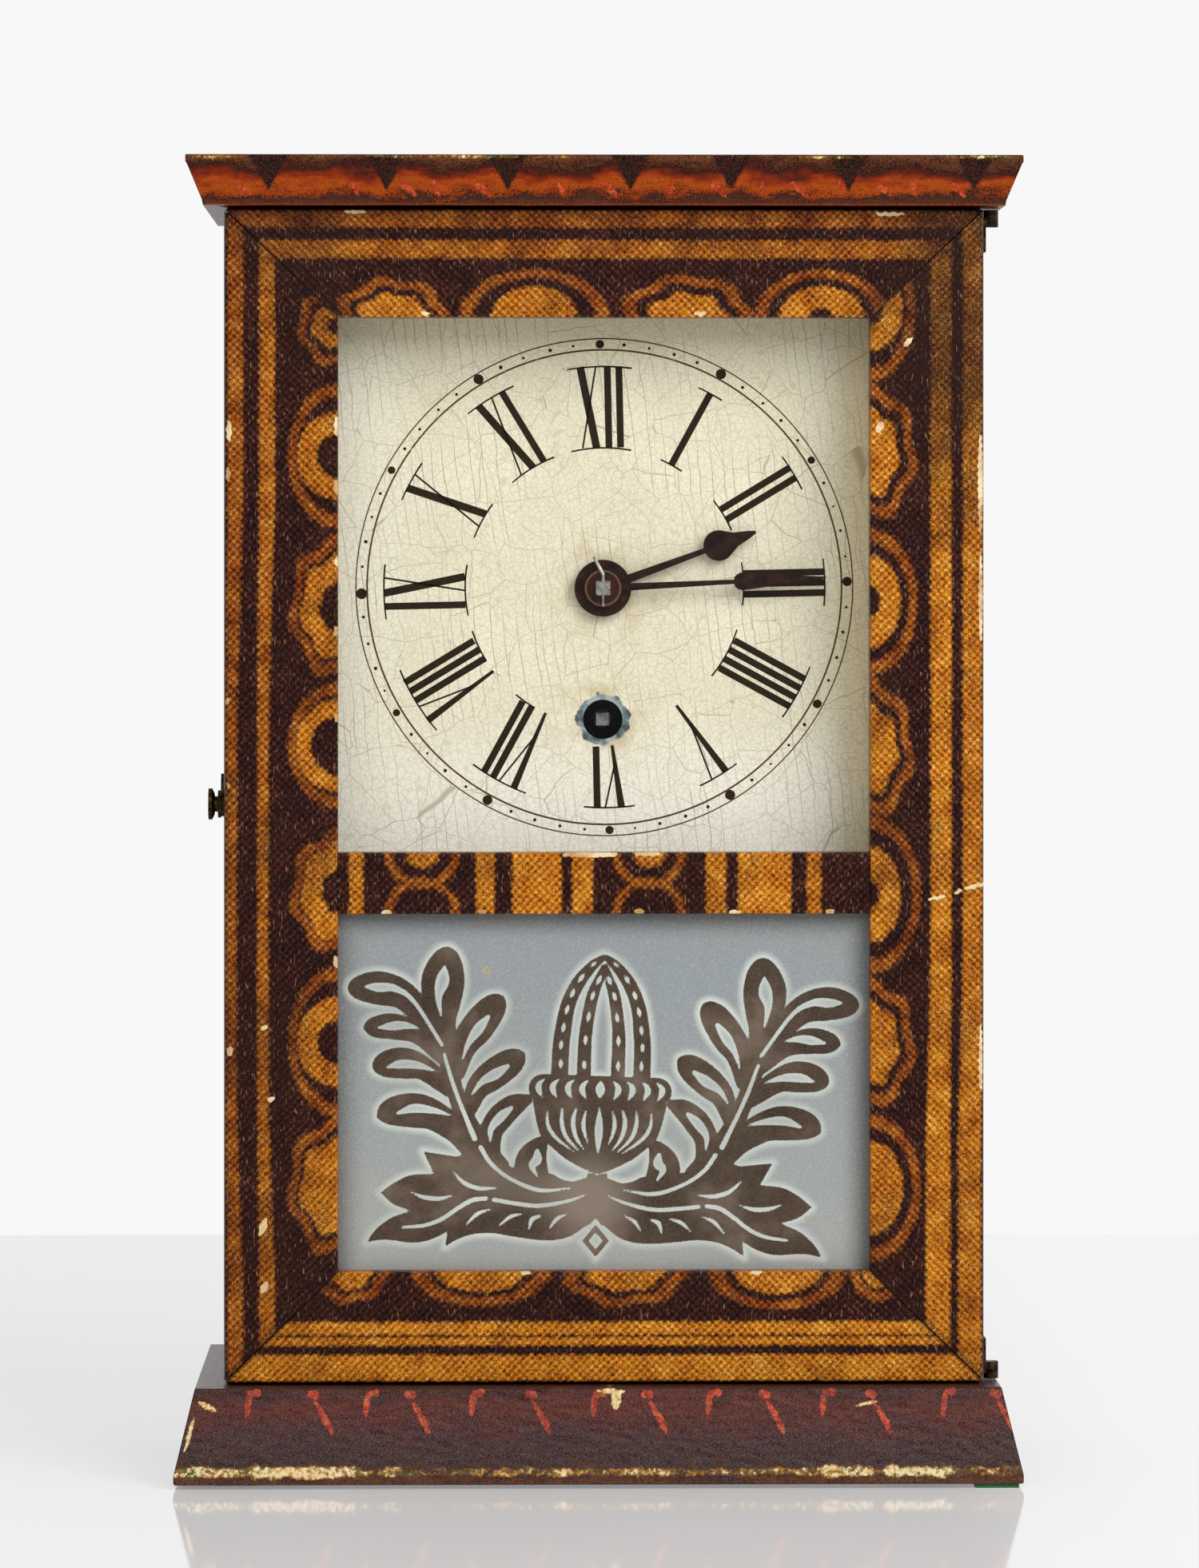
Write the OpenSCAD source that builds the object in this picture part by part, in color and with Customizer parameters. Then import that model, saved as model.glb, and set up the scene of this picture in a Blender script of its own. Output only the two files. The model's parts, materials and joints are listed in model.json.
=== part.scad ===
// Small cottage shelf timepiece: box case with bevelled cornice and plinth,
// full-front mitred door, painted dial, thirty-hour spring movement with pendulum.
// Millimetres. +Z is up, the dial faces -Y, and Z = 0 is what the felt feet stand on.
// "Centre" is the axis of the hands. Wheels turn about axes that run along Y.

/* [Case] */
// Height of the clock, felt feet included
clock_h = 305; // [295:0.5:320]
// Depth of the plinth, front to back
clock_d = 102; // [98:0.5:120]
// Width of the box behind the door
box_w = 174; // [173:0.1:176]
// Thickness of the side, top and bottom boards
board_t = 8; // [7:0.1:9]
// Thickness of the back board
back_t = 4; // [3:0.1:6]
// Width of the rebate that the back board lies in
back_rebate = 4; // [3:0.1:5]
// Thickness of the felt feet
felt_t = 1; // [0.5:0.1:2]
// Side of a felt foot
felt_w = 10; // [8:0.5:14]

/* [Plinth] */
// Height of the plinth strips
plinth_h = 21.6; // [20:0.1:25]
// How far the foot of the plinth stands out past the door on each side
plinth_over = 9.75; // [8:0.05:12]
// How far the plinth face leans back from its foot to its top
plinth_slope = 4.7; // [3:0.1:6]
// Upright lip at the foot of the plinth
plinth_lip = 2; // [1:0.1:4]
// Width of a plinth strip, seen from above
plinth_strip = 26; // [24:0.5:30]
// How far the plinth sits to the side of the case, as it was glued
plinth_shift = -1.4; // [-2:0.1:2]
// Height of the glue blocks
glue_block_h = 12; // [8:0.5:18]
// Leg of a glue block
glue_block_leg = 18; // [12:0.5:24]

/* [Cornice] */
// Height of the cornice
cornice_h = 11.4; // [9:0.1:14]
// How far the cornice stands out past the door at its top
cornice_over = 8.5; // [7:0.1:10]
// How far the cornice face leans in from top to bottom
cornice_slope = 3.9; // [2:0.1:5]
// Upright lip at the top of the cornice
cornice_top_lip = 2; // [1:0.1:3]
// Upright lip at the bottom of the cornice
cornice_low_lip = 1.2; // [0.5:0.1:2]

/* [Door] */
// How far the door stands out past the box on each side
door_over = 0.45; // [0.3:0.05:1]
// Thickness of the door
door_t = 11; // [10:0.1:12]
// Distance from the foot of the plinth to the front of the door
door_inset = 11; // [10:0.1:14]
// Gap between door and cornice, and between door and plinth
door_gap = 0.7; // [0.4:0.1:1.2]
// Gap between the back of the door and the box
door_back_gap = 0.3; // [0.2:0.05:0.6]
// Width of the stiles
stile_w = 26.2; // [24:0.1:28]
// Height of the top rail
top_rail_h = 24.8; // [22:0.1:27]
// Height of the bottom rail
bottom_rail_h = 25.4; // [22:0.1:27]
// Height of the middle rail
middle_rail_h = 14.1; // [12:0.1:17]
// Height of the opening over the dial
dial_opening_h = 123.1; // [120:0.1:126]
// Depth of the frame in front of the glass
frame_lip = 5; // [4:0.1:6]
// Width of the rebate that the glass lies in
rebate_w = 4; // [3:0.1:4.5]
// Thickness of the panes
glass_t = 1.8; // [1.2:0.1:2.5]
// Play round a pane in its rebate
glass_play = 0.3; // [0.2:0.05:0.6]
// Thickness of the slips that hold the panes
slip_t = 2; // [1:0.1:2.4]
// Radius of the outer front edges of the stiles
edge_r = 1.8; // [0.8:0.1:3]
// Open seam at a mitre
seam = 0.3; // [0.1:0.05:0.6]

/* [Hinges and latch] */
// Radius of a hinge knuckle
knuckle_r = 1.9; // [1.6:0.05:2]
// Height of one knuckle
knuckle_h = 1.9; // [1.5:0.1:3]
// Gap between a hinge knuckle and the side of the door
knuckle_gap = 0.25; // [0.15:0.05:0.6]
// Radius of the hinge pins
hinge_pin_r = 0.8; // [0.6:0.05:1]
// Thickness of the hinge leaves
leaf_t = 0.6; // [0.4:0.05:0.8]
// Length of a hinge leaf on the case
leaf_l = 12; // [8:0.5:20]
// Height of a hinge leaf
leaf_h = 8; // [6:0.5:12]
// Drop from the middle of the door's height to the latch pivot
latch_drop = 2.1; // [-5:0.1:10]
// Distance of the latch pivot from the back of the door
latch_in = 3; // [2.6:0.1:4]
// Length of the latch arm from its pivot
latch_arm = 7; // [6.5:0.1:9]
// Width of the latch arm
latch_w = 4; // [3:0.1:5]
// Thickness of the latch plate
latch_t = 0.8; // [0.6:0.05:1.2]
// Radius of the knob's head
knob_r = 3.6; // [3:0.1:5]
// Radius of the screw that holds the latch
latch_screw_r = 1; // [0.8:0.05:1.2]
// Radius of the catch pin
catch_r = 0.7; // [0.5:0.05:0.9]

/* [Dial and hands] */
// Drop from the top of the dial's opening to the centre of the hands
centre_drop = 62.3; // [60:0.1:64]
// Distance from the front of the door to the front of the dial
dial_setback = 20; // [18:0.1:22]
// Thickness of the dial plate
dial_t = 0.6; // [0.4:0.05:1]
// Gap between the dial plate and the sides of the box
dial_side_gap = 7; // [5:0.1:9]
// How far the dial plate reaches behind the door, above and below its opening
dial_lap = 7.95; // [6:0.05:9]
// Radius of the winding hole
winding_hole_r = 4.6; // [4:0.1:6]
// Radius of the centre hole in the dial
centre_hole_r = 3.5; // [3.3:0.1:5]
// Radius of the hour hand's collar
hour_collar_r = 6.6; // [5:0.1:8]
// Length of the hour hand
hour_hand_l = 38; // [34:0.5:42]
// Length of the minute hand
minute_hand_l = 51.8; // [46:0.2:54]
// Thickness of the hands
hand_t = 0.7; // [0.4:0.05:1]
// Angle of the hour hand, anticlockwise from three o'clock
hour_angle = 20.2; // [0:0.1:360]
// Angle of the minute hand, anticlockwise from three o'clock
minute_angle = 2.8; // [0:0.1:360]

/* [Movement] */
// Thickness of the movement plates
plate_t = 1.5; // [1.2:0.1:2]
// Distance between the plates
plate_gap = 28; // [28:0.1:30]
// Depth of the blocks between the back plate and the back board
block_d = 14; // [13:0.1:16]
// Width of the front plate
front_plate_w = 80; // [78:0.5:84]
// How far the back plate stands out past the front plate on each side
plate_ear = 8; // [7:0.1:10]
// Height of the plates above the stud of the pendulum
plate_over = 6; // [5:0.1:9]
// Depth of the plates below the winding arbor
plate_under = 26.5; // [26:0.1:30]
// Radius of the pillars
pillar_r = 2.6; // [2:0.1:3]
// Drop from the centre to the winding arbor
wind_drop = 30.5; // [30:0.1:31]
// Rise from the centre to the escape wheel
escape_rise = 31.6; // [31:0.1:33]
// Distance from the centre arbor to the third arbor
third_gap = 21.45; // [21:0.05:22]
// Distance from the third arbor to the escape arbor
escape_gap = 18; // [17.6:0.05:18.4]
// Distance from the centre to the minute wheel's post
motion_post_gap = 12; // [11.6:0.1:12.6]
// Radius of the escape wheel
escape_r = 13; // [12.4:0.1:13.4]
// Running clearance of pivots and pipes
run = 0.05; // [0.02:0.01:0.08]
// Thickness of the train wheels
wheel_t = 1; // [0.8:0.05:1.2]
// Thickness of the main wheel
main_t = 1.4; // [1:0.1:1.6]
// Radius of the ratchet wheel
ratchet_r = 9; // [8.6:0.1:9.4]
// Width of the mainspring
spring_w = 12; // [8:0.5:12]
// Thickness of the mainspring
spring_t = 0.45; // [0.3:0.05:0.6]
// Radius of the innermost turn of the mainspring
spring_in_r = 4.7; // [4.5:0.1:6]
// Turns of the mainspring
spring_turns = 9; // [5:1:11]
// Distance from the pendulum's bend to the middle of the bob
pendulum_l = 146; // [140:0.5:152]
// Radius of the bob
bob_r = 14; // [11:0.5:18]
// Thickness of the bob
bob_t = 8; // [5:0.5:9]
// Radius of the pendulum rod
rod_r = 0.8; // [0.6:0.05:0.9]
// Swing of the pendulum to each side, in degrees
swing = 4; // [2:0.5:4]

/* [Hidden] */
$fn = 48;
eps = 0.01;
past = 1;

// Levels of the case
plinth_z1 = felt_t + plinth_h;
door_w = box_w + 2 * door_over;
plinth_w = door_w + 2 * plinth_over;
cornice_z0 = clock_h - cornice_h;
door_z0 = plinth_z1 + door_gap;
door_z1 = cornice_z0 - door_gap;
front_y = -clock_d / 2;
back_y = clock_d / 2;
door_y = front_y + door_inset;
door_back_y = door_y + door_t;
box_y = door_back_y + door_back_gap;
box_x = box_w / 2;
side_in_x = box_x - board_t;
back_face_y = back_y - back_t;

// Openings of the door
door_x = door_w / 2;
open_x = door_x - stile_w;
open_z1 = door_z1 - top_rail_h;
middle_z1 = open_z1 - dial_opening_h;
middle_z0 = middle_z1 - middle_rail_h;
open_z0 = door_z0 + bottom_rail_h;
glass_y = door_y + frame_lip;
slip_y = glass_y + glass_t;
core_h = middle_rail_h - 2 * rebate_w;
centre_z = open_z1 - centre_drop;

// Plinth and cornice outlines, seen from above
plinth_x = plinth_w / 2;
cornice_x = door_x + cornice_over;
cornice_y = door_y - cornice_over;

// Hinges and latch
pin_out = knuckle_r + knuckle_gap;
hinge_x = door_x + pin_out;
latch_z = (door_z0 + door_z1) / 2 - latch_drop;
hinge_y = door_back_y;
knuckle_play = 0.1;
leaf_step = 0.4;
low_knuckle_z = plinth_z1 + 0.3;
high_knuckle_z = cornice_z0 - 0.3 - 2 * knuckle_h - knuckle_play;
latch_y = door_back_y - latch_in;
latch_x = -door_x - 0.05;
catch_y = box_y + 1.5;
catch_reach = catch_y - latch_y;
notch_play = 0.2;
catch_in = 5;
latch_screw_in = 8;
knob_neck = 0.8;
knob_head = 1.4;
knob_foot = 0.7;
knob_dish = 0.9;
knob_x0 = latch_x - latch_t;
knob_x1 = knob_x0 - knob_foot - knob_neck - knob_head;

// Depths of dial, hands and movement
dial_y = door_y + dial_setback;
dial_back_y = dial_y + dial_t;
dial_z = (open_z1 + middle_z1) / 2;
dial_w = 2 * (side_in_x - dial_side_gap);
dial_h = dial_opening_h + 2 * dial_lap;
bplate_back_y = back_face_y - block_d;
bplate_y = bplate_back_y - plate_t;
fplate_back_y = bplate_y - plate_gap;
fplate_y = fplate_back_y - plate_t;
strip_w = 13;
strip_d = 12;
strip_over = 4;
block_w = 11;
tack_in = 3;
tack_r = 0.5;
tack_head_r = 1.6;
tack_head_t = 0.6;
tack_l = 8;
hand_gap = 1.2;
hour_y = dial_y - 1.9;
minute_y = hour_y - hand_t - hand_gap;
cannon_end_y = minute_y - hand_t - 2.4;

// Wheel work, each pair being a wheel and a lantern pinion
main_teeth = 72;
centre_pins = 12;
centre_teeth = 72;
third_pins = 6;
third_teeth = 66;
escape_pins = 6;
escape_teeth = 36;
minute_pins = 12;
minute_teeth = 36;
hour_pins = 10;
hour_teeth = 40;
pallet_span = 7.5;
main_m = 2 * wind_drop / (main_teeth + centre_pins);
centre_m = 2 * third_gap / (centre_teeth + third_pins);
third_m = 2 * escape_gap / (third_teeth + escape_pins);
minute_m = 2 * motion_post_gap / (minute_teeth + minute_pins);
hour_m = 2 * motion_post_gap / (hour_teeth + hour_pins);
// Radius of a trundle as a share of the tooth module
trundle = 0.685;
// Backlash as a share of the tooth module
backlash = 0.22;
// Height of the tooth tips as a share of the module
addendum = 1.2;
root_play = 0.15;

// Places of the arbors, as [x, z] from the centre
winding_at = [0, -wind_drop];
escape_at = [0, escape_rise];
third_turn = acos((third_gap * third_gap + escape_rise * escape_rise - escape_gap * escape_gap)
  / (2 * third_gap * escape_rise));
third_at = [third_gap * sin(third_turn), third_gap * cos(third_turn)];
verge_rise = escape_r / cos(pallet_span * 180 / escape_teeth);
verge_at = escape_at + [0, verge_rise];
stud_r = 1.8;
stud_rise = 6;
stud_at = verge_at + [0, stud_rise];
post_at = [motion_post_gap, 0];
plate_up = stud_at[1] + plate_over;
plate_down = wind_drop + plate_under;
back_plate_w = front_plate_w + 2 * plate_ear;
pillar_in = 6;
pillar_x = front_plate_w / 2 - pillar_in;
pillar_places = [
  [-pillar_x, plate_up - pillar_in], [pillar_x, plate_up - pillar_in],
  [-pillar_x, -plate_down + pillar_in], [pillar_x, -plate_down + pillar_in]
];
anchor_at = pillar_places[3] - winding_at;

// Depths of the wheels, counted back from the front plate's rear face
end_shake = 0.3;
shroud_t = 0.8;
main_y = fplate_back_y + 1.9;
ratchet_y = main_y + main_t + 0.3;
ratchet_t = 1.5;
spring_y = ratchet_y + ratchet_t + 0.6;
centre_y = spring_y + spring_w + 1.2;
third_y = fplate_back_y + 6.5;
escape_y = bplate_y - 4.1;
verge_y = escape_y - 1;
verge_t = 2.8;
shroud_play = 0.6;

// Radii of arbors and pivots
winding_r = 3;
winding_front_r = 2.2;
winding_pivot_r = 1.6;
barrel_r = 3.6;
hook_r = 4.3;
square = 3;
centre_r = 1.6;
centre_front_r = 1;
centre_pivot_r = 0.9;
third_r = 0.85;
escape_arbor_r = 0.75;
fine_pivot_r = 0.5;
verge_r = 0.8;
cannon_r = 1.9;
cannon_square = 3.3;
pipe_bore_r = cannon_r + run;
pipe_r = 2.9;
post_r = 1;
pivot_l = plate_t + 0.3;

// Motion work, counted forward from the front plate
motion_t = 0.8;
minute_wheel_y = fplate_y - 4.4;
cannon_back_y = fplate_y - 0.2;
hour_wheel_y = minute_wheel_y - 2.8;
post_end_y = hour_wheel_y - 1.4;

// Pendulum
pendulum_y = bplate_back_y + 6.5;
bend_z = centre_z + verge_at[1];
spring_strip = [3, 0.2, 8];
rod_block = [3.4, 2.4, 4];
post_gap_z = 0.05;
crutch_l = 24;
crutch_r = 0.6;
crutch_y = bplate_back_y + 1.2;
slot_play = 0.15;
nut_r = 3;
nut_h = 2.4;

// Colours
pine = "#8A6A44";
dark_paint = "#3A1C18";
paper = "#A8662A";
dark_print = "#4A241C";
brass = "#B08D4A";
steel = "#5A5A5E";
blued = "#2A1C20";
cream = "#E4DFC8";

// Extrusions along an axis, and parts placed from the centre
module along_x(x0, x1) {
  translate([x0, 0, 0]) rotate([90, 0, 90]) linear_extrude(x1 - x0) children();
}
module along_y(y0, y1) {
  translate([0, y1, 0]) rotate([90, 0, 0]) linear_extrude(y1 - y0) children();
}
module rod_y(r, y0, y1) {
  translate([0, y1, 0]) rotate([90, 0, 0]) cylinder(r = r, h = y1 - y0);
}
module rod_x(r, x0, x1) {
  translate([x0, 0, 0]) rotate([0, 90, 0]) cylinder(r = r, h = x1 - x0);
}
module ring_y(r1, r0, y0, y1) {
  difference() {
    rod_y(r1, y0, y1);
    rod_y(r0, y0 - past, y1 + past);
  }
}
module from_centre(at = [0, 0]) {
  translate([at[0], 0, centre_z + at[1]]) children();
}
module both_sides() {
  children();
  mirror([1, 0, 0]) children();
}
module box(x, y, z) {
  translate([x[0], y[0], z[0]]) cube([x[1] - x[0], y[1] - y[0], z[1] - z[0]]);
}

// A straight bar of thickness t between two points of a drawing
module bar(p, q, t) {
  n = t / 2 / norm(q - p) * [p[1] - q[1], q[0] - p[0]];
  polygon([p + n, p - n, q - n, q + n]);
}

// Case ---------------------------------------------------------------------

module side_board() {
  difference() {
    box([side_in_x, box_x], [box_y, back_y], [plinth_z1, clock_h]);
    box([side_in_x - past, side_in_x + back_rebate], [back_face_y, back_y + past],
      [plinth_z1 - past, clock_h + past]);
  }
}
module case_side_left() {
  color(pine) difference() {
    mirror([1, 0, 0]) side_board();
    translate([0, catch_y, latch_z]) rod_x(catch_r, -box_x - past, -box_x + catch_in);
  }
}
module case_side_right() {
  color(pine) side_board();
}
module case_top_board() {
  color(pine) box([-side_in_x, side_in_x], [box_y, back_face_y], [clock_h - board_t, clock_h]);
}
module case_bottom_board() {
  color(pine) box([-side_in_x, side_in_x], [box_y, back_face_y], [plinth_z1, plinth_z1 + board_t]);
}
module back_board() {
  reach = side_in_x + back_rebate - eps;
  color(pine) box([-reach, reach], [back_face_y, back_y], [plinth_z1, clock_h]);
}

// Section of the cornice: o is measured outwards from the plane of its top edge
function cornice_section(o, inner, out = 1) = [
  [inner, cornice_z0],
  [o - out * cornice_slope, cornice_z0],
  [o - out * cornice_slope * 0.94, cornice_z0 + cornice_low_lip],
  [o - out * cornice_slope * 0.08, clock_h - cornice_top_lip],
  [o, clock_h - cornice_top_lip * 0.8],
  [o, clock_h],
  [inner, clock_h]
];
mitre_turn = cornice_x - box_x;
module cornice_front() {
  g = seam / 2;
  color(dark_paint) intersection() {
    along_x(-cornice_x, cornice_x) polygon(cornice_section(cornice_y, box_y, -1));
    translate([0, 0, cornice_z0 - past]) linear_extrude(cornice_h + 2 * past) polygon([
      [-cornice_x + g, cornice_y - g], [cornice_x - g, cornice_y - g],
      [box_x - g, cornice_y + mitre_turn - g], [box_x - g, box_y],
      [-box_x + g, box_y], [-box_x + g, cornice_y + mitre_turn - g]
    ]);
  }
}
module cornice_side() {
  g = seam / 2;
  color(dark_paint) intersection() {
    along_y(cornice_y, back_y) polygon(cornice_section(cornice_x, box_x));
    translate([0, 0, cornice_z0 - past]) linear_extrude(cornice_h + 2 * past) polygon([
      [cornice_x + g, cornice_y + g], [cornice_x + g, back_y],
      [box_x, back_y], [box_x, cornice_y + mitre_turn + 2 * g]
    ]);
  }
}
module cornice_left() {
  mirror([1, 0, 0]) cornice_side();
}
module cornice_right() {
  cornice_side();
}

// Section of the plinth: o is its foot, inner its hidden face
function plinth_section(o, inner, out = 1) = [
  [inner, felt_t],
  [o, felt_t],
  [o, felt_t + plinth_lip],
  [o - out * plinth_slope, plinth_z1],
  [inner, plinth_z1]
];
module base_front() {
  g = seam / 2;
  x = plinth_x;
  color(dark_paint) translate([plinth_shift, 0, 0]) intersection() {
    along_x(-x, x) polygon(plinth_section(front_y, front_y + plinth_strip, -1));
    linear_extrude(plinth_z1 + past) polygon([
      [-x + g, front_y - g], [x - g, front_y - g],
      [x - plinth_strip - g, front_y + plinth_strip], [-x + plinth_strip + g, front_y + plinth_strip]
    ]);
  }
}
module base_side() {
  g = seam / 2;
  x = plinth_x;
  color(dark_paint) intersection() {
    along_y(front_y, back_y) polygon(plinth_section(x, x - plinth_strip));
    linear_extrude(plinth_z1 + past) polygon([
      [x + g, front_y + g], [x + g, back_y],
      [x - plinth_strip, back_y], [x - plinth_strip, front_y + plinth_strip + 2 * g]
    ]);
  }
}
module base_left() {
  translate([plinth_shift, 0, 0]) mirror([1, 0, 0]) base_side();
}
module base_right() {
  translate([plinth_shift, 0, 0]) base_side();
}
module glue_blocks() {
  x = plinth_x - plinth_strip;
  y0 = front_y + plinth_strip;
  l = glue_block_leg;
  color(pine) translate([plinth_shift, 0, plinth_z1 - glue_block_h]) both_sides() {
    linear_extrude(glue_block_h) polygon([[x, y0], [x - l, y0], [x, y0 + l]]);
    linear_extrude(glue_block_h) polygon([[x, back_y - l], [x - l / 2, back_y - l], [x - l / 2, back_y], [x, back_y]]);
  }
}
module felt_pads() {
  inset = 1;
  set_back = 8;
  w = felt_w;
  x = plinth_x - inset;
  color("#2F5A3C") translate([plinth_shift, 0, 0]) {
    box([x - w, x], [front_y + inset, front_y + inset + w], [0, felt_t]);
    box([-x + set_back, -x + set_back + w], [front_y + set_back, front_y + set_back + w], [0, felt_t]);
    box([x - set_back - w, x - set_back], [back_y - set_back - w, back_y - set_back], [0, felt_t]);
    box([-x + set_back, -x + set_back + w], [back_y - set_back - w, back_y - set_back], [0, felt_t]);
  }
}
module dial_strips() {
  z0 = dial_z - dial_h / 2 - strip_over;
  z1 = dial_z + dial_h / 2 + strip_over;
  color(pine) difference() {
    both_sides() box([side_in_x - strip_w, side_in_x], [dial_back_y, dial_back_y + strip_d], [z0, z1]);
    tack_places() rod_y(tack_r, dial_back_y - past, dial_back_y + tack_l);
  }
}
module movement_blocks() {
  x = back_plate_w / 2;
  color(pine) difference() {
    both_sides() box([x - block_w, x], [bplate_back_y, back_face_y],
      [centre_z - plate_down, centre_z + plate_up]);
    screw_places() rod_y(screw_r, bplate_y, bplate_back_y + screw_l);
  }
}

// Door ---------------------------------------------------------------------

// Section of a stile, from the opening to the outer edge
function stile_section() = [
  [open_x, door_y],
  for (a = [0:18:90]) [door_x - edge_r + edge_r * sin(a), door_y + edge_r - edge_r * cos(a)],
  [door_x, door_back_y],
  [open_x + rebate_w, door_back_y],
  [open_x + rebate_w, glass_y],
  [open_x, glass_y]
];
module stile() {
  g = seam / 2;
  intersection() {
    translate([0, 0, door_z0]) linear_extrude(door_z1 - door_z0) polygon(stile_section());
    along_y(door_y - past, door_back_y + past) polygon([
      [open_x, open_z0], [open_x, open_z1],
      [open_x + eps, open_z1], [door_x + eps, door_z1 - g],
      [door_x + past, door_z1 - g], [door_x + past, door_z0 + g],
      [door_x + eps, door_z0 + g], [open_x + eps, open_z0]
    ]);
  }
}
module door_left_stile() {
  color(paper) difference() {
    mirror([1, 0, 0]) stile();
    at_latch() rod_x(latch_screw_r, -door_x - past, -door_x + latch_screw_in);
  }
}
module door_right_stile() {
  color(paper) stile();
}
// A rail with its outer edge at z0 and its opening edge at z1, mitred at both ends
module rail(z0, z1) {
  s = sign(z1 - z0);
  g = seam / 2;
  intersection() {
    along_x(-door_x, door_x) polygon([
      [door_y, z0], [door_y, z1], [glass_y, z1], [glass_y, z1 - s * rebate_w],
      [door_back_y, z1 - s * rebate_w], [door_back_y, z0]
    ]);
    along_y(door_y - past, door_back_y + past) polygon([
      [-door_x + 2 * g, z0], [door_x - 2 * g, z0],
      [open_x - g, z1], [-open_x + g, z1]
    ]);
  }
}
module door_top_rail() {
  color(paper) rail(door_z1, open_z1);
}
module door_bottom_rail() {
  color(paper) rail(door_z0, open_z0);
}
module door_middle_rail() {
  mid = (middle_z0 + middle_z1) / 2;
  color(paper) {
    box([-open_x, open_x], [door_y, glass_y], [middle_z0, middle_z1]);
    box([-open_x - rebate_w + eps, open_x + rebate_w - eps], [glass_y, door_back_y],
      [mid - core_h / 2, mid + core_h / 2]);
  }
}
module pane(z0, z1) {
  reach = rebate_w - glass_play;
  box([-open_x - reach, open_x + reach], [glass_y, slip_y], [z0 - reach, z1 + reach]);
}
module dial_glass() {
  color("#DCE8E4", 0.3) pane(middle_z1, open_z1);
}
module tablet_glass() {
  color("#A9B4B9") pane(open_z0, middle_z0);
}
// Four mitred slips round a pane, bevelled towards the opening
module slips(z0, z1) {
  reach = rebate_w - glass_play;
  mid = (z0 + z1) / 2;
  h = (z1 - z0) / 2 + reach;
  w = open_x + reach;
  s = reach;
  section = [[0, 0], [0, slip_t], [s * 0.6, slip_t], [s, slip_t * 0.4], [s, 0]];
  for (side = [-1, 1]) {
    translate([0, slip_y, mid]) scale([side, 1, 1]) intersection() {
      translate([0, 0, -h]) linear_extrude(2 * h) polygon([for (p = section) [w - p[0], p[1]]]);
      along_y(-past, slip_t + past) polygon([[w, -h + seam], [w, h - seam], [w - s, h - s - seam], [w - s, -h + s + seam]]);
    }
    translate([0, slip_y, mid]) scale([1, 1, side]) intersection() {
      along_x(-w, w) polygon([for (p = section) [p[1], h - p[0]]]);
      along_y(-past, slip_t + past) polygon([[-w, h], [w, h], [w - s, h - s], [-w + s, h - s]]);
    }
  }
}
module glazing_beads() {
  color(pine) {
    slips(middle_z1, open_z1);
    slips(open_z0, middle_z0);
  }
}

// Knuckle with its tab, at height z, reaching to x0 beside the pin, y0 and y1 from the pin
module knuckle(z, r_bore, y0, y1) {
  difference() {
    union() {
      translate([hinge_x, hinge_y, z]) cylinder(r = knuckle_r, h = knuckle_h);
      box([hinge_x - pin_out, hinge_x], [hinge_y + y0, hinge_y + y1], [z, z + knuckle_h]);
    }
    translate([hinge_x, hinge_y, z - past]) cylinder(r = r_bore, h = knuckle_h + 2 * past);
  }
}
module hinge_ears_door() {
  z_low = low_knuckle_z + knuckle_h + knuckle_play;
  z_high = high_knuckle_z;
  y0 = -1.75;
  color(brass) for (z = [z_low, z_high]) {
    up = z == z_low ? 0 : knuckle_h - leaf_h;
    knuckle(z, hinge_pin_r + run, y0, y0 + leaf_step + leaf_t);
    box([door_x, door_x + leaf_t], [door_y + edge_r + 0.4, hinge_y + y0 + leaf_t],
      [z + up, z + up + leaf_h]);
  }
}
module hinge_ears_case() {
  z_low = low_knuckle_z;
  z_high = high_knuckle_z + knuckle_h + knuckle_play;
  y0 = door_back_gap + 0.1;
  color(brass) for (z = [z_low, z_high]) {
    up = z == z_low ? 0 : knuckle_h - leaf_h;
    knuckle(z, hinge_pin_r, y0, y0 + leaf_step + leaf_t);
    box([box_x, box_x + leaf_t], [hinge_y + y0, hinge_y + y0 + leaf_l], [z + up, z + up + leaf_h]);
    box([box_x, hinge_x - pin_out + eps], [hinge_y + y0, hinge_y + y0 + leaf_step + leaf_t],
      [z, z + knuckle_h]);
  }
}
module hinge_pins() {
  color(steel) for (z = [low_knuckle_z, high_knuckle_z])
    translate([hinge_x, hinge_y, z]) cylinder(r = hinge_pin_r, h = 2 * knuckle_h + knuckle_play);
}

module at_latch() {
  translate([0, latch_y, latch_z]) children();
}
module latch_hook() {
  notch = catch_r + notch_play;
  color(brass) at_latch() difference() {
    union() {
      rod_x(latch_w * 0.72, knob_x0, latch_x);
      along_x(knob_x0, latch_x) polygon([
        [-latch_w / 2, 0], [latch_w / 2, 0], [latch_w / 2, latch_arm - 0.8],
        [latch_w / 2 - 0.8, latch_arm], [-latch_w / 2 + 1.6, latch_arm], [-latch_w / 2, latch_arm - 1.6]
      ]);
    }
    rod_x(latch_screw_r + run, knob_x0 - past, latch_x + past);
    translate([0, 0, catch_reach]) rod_x(notch, knob_x0 - past, latch_x + past);
    // the pin leaves the notch on a curve round the pivot
    intersection() {
      box([knob_x0 - past, latch_x + past], [0, latch_w], [0, latch_arm]);
      difference() {
        rod_x(catch_reach + notch, knob_x0 - past, latch_x + past);
        rod_x(catch_reach - notch, knob_x0 - 2 * past, latch_x + 2 * past);
      }
    }
  }
}
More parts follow.
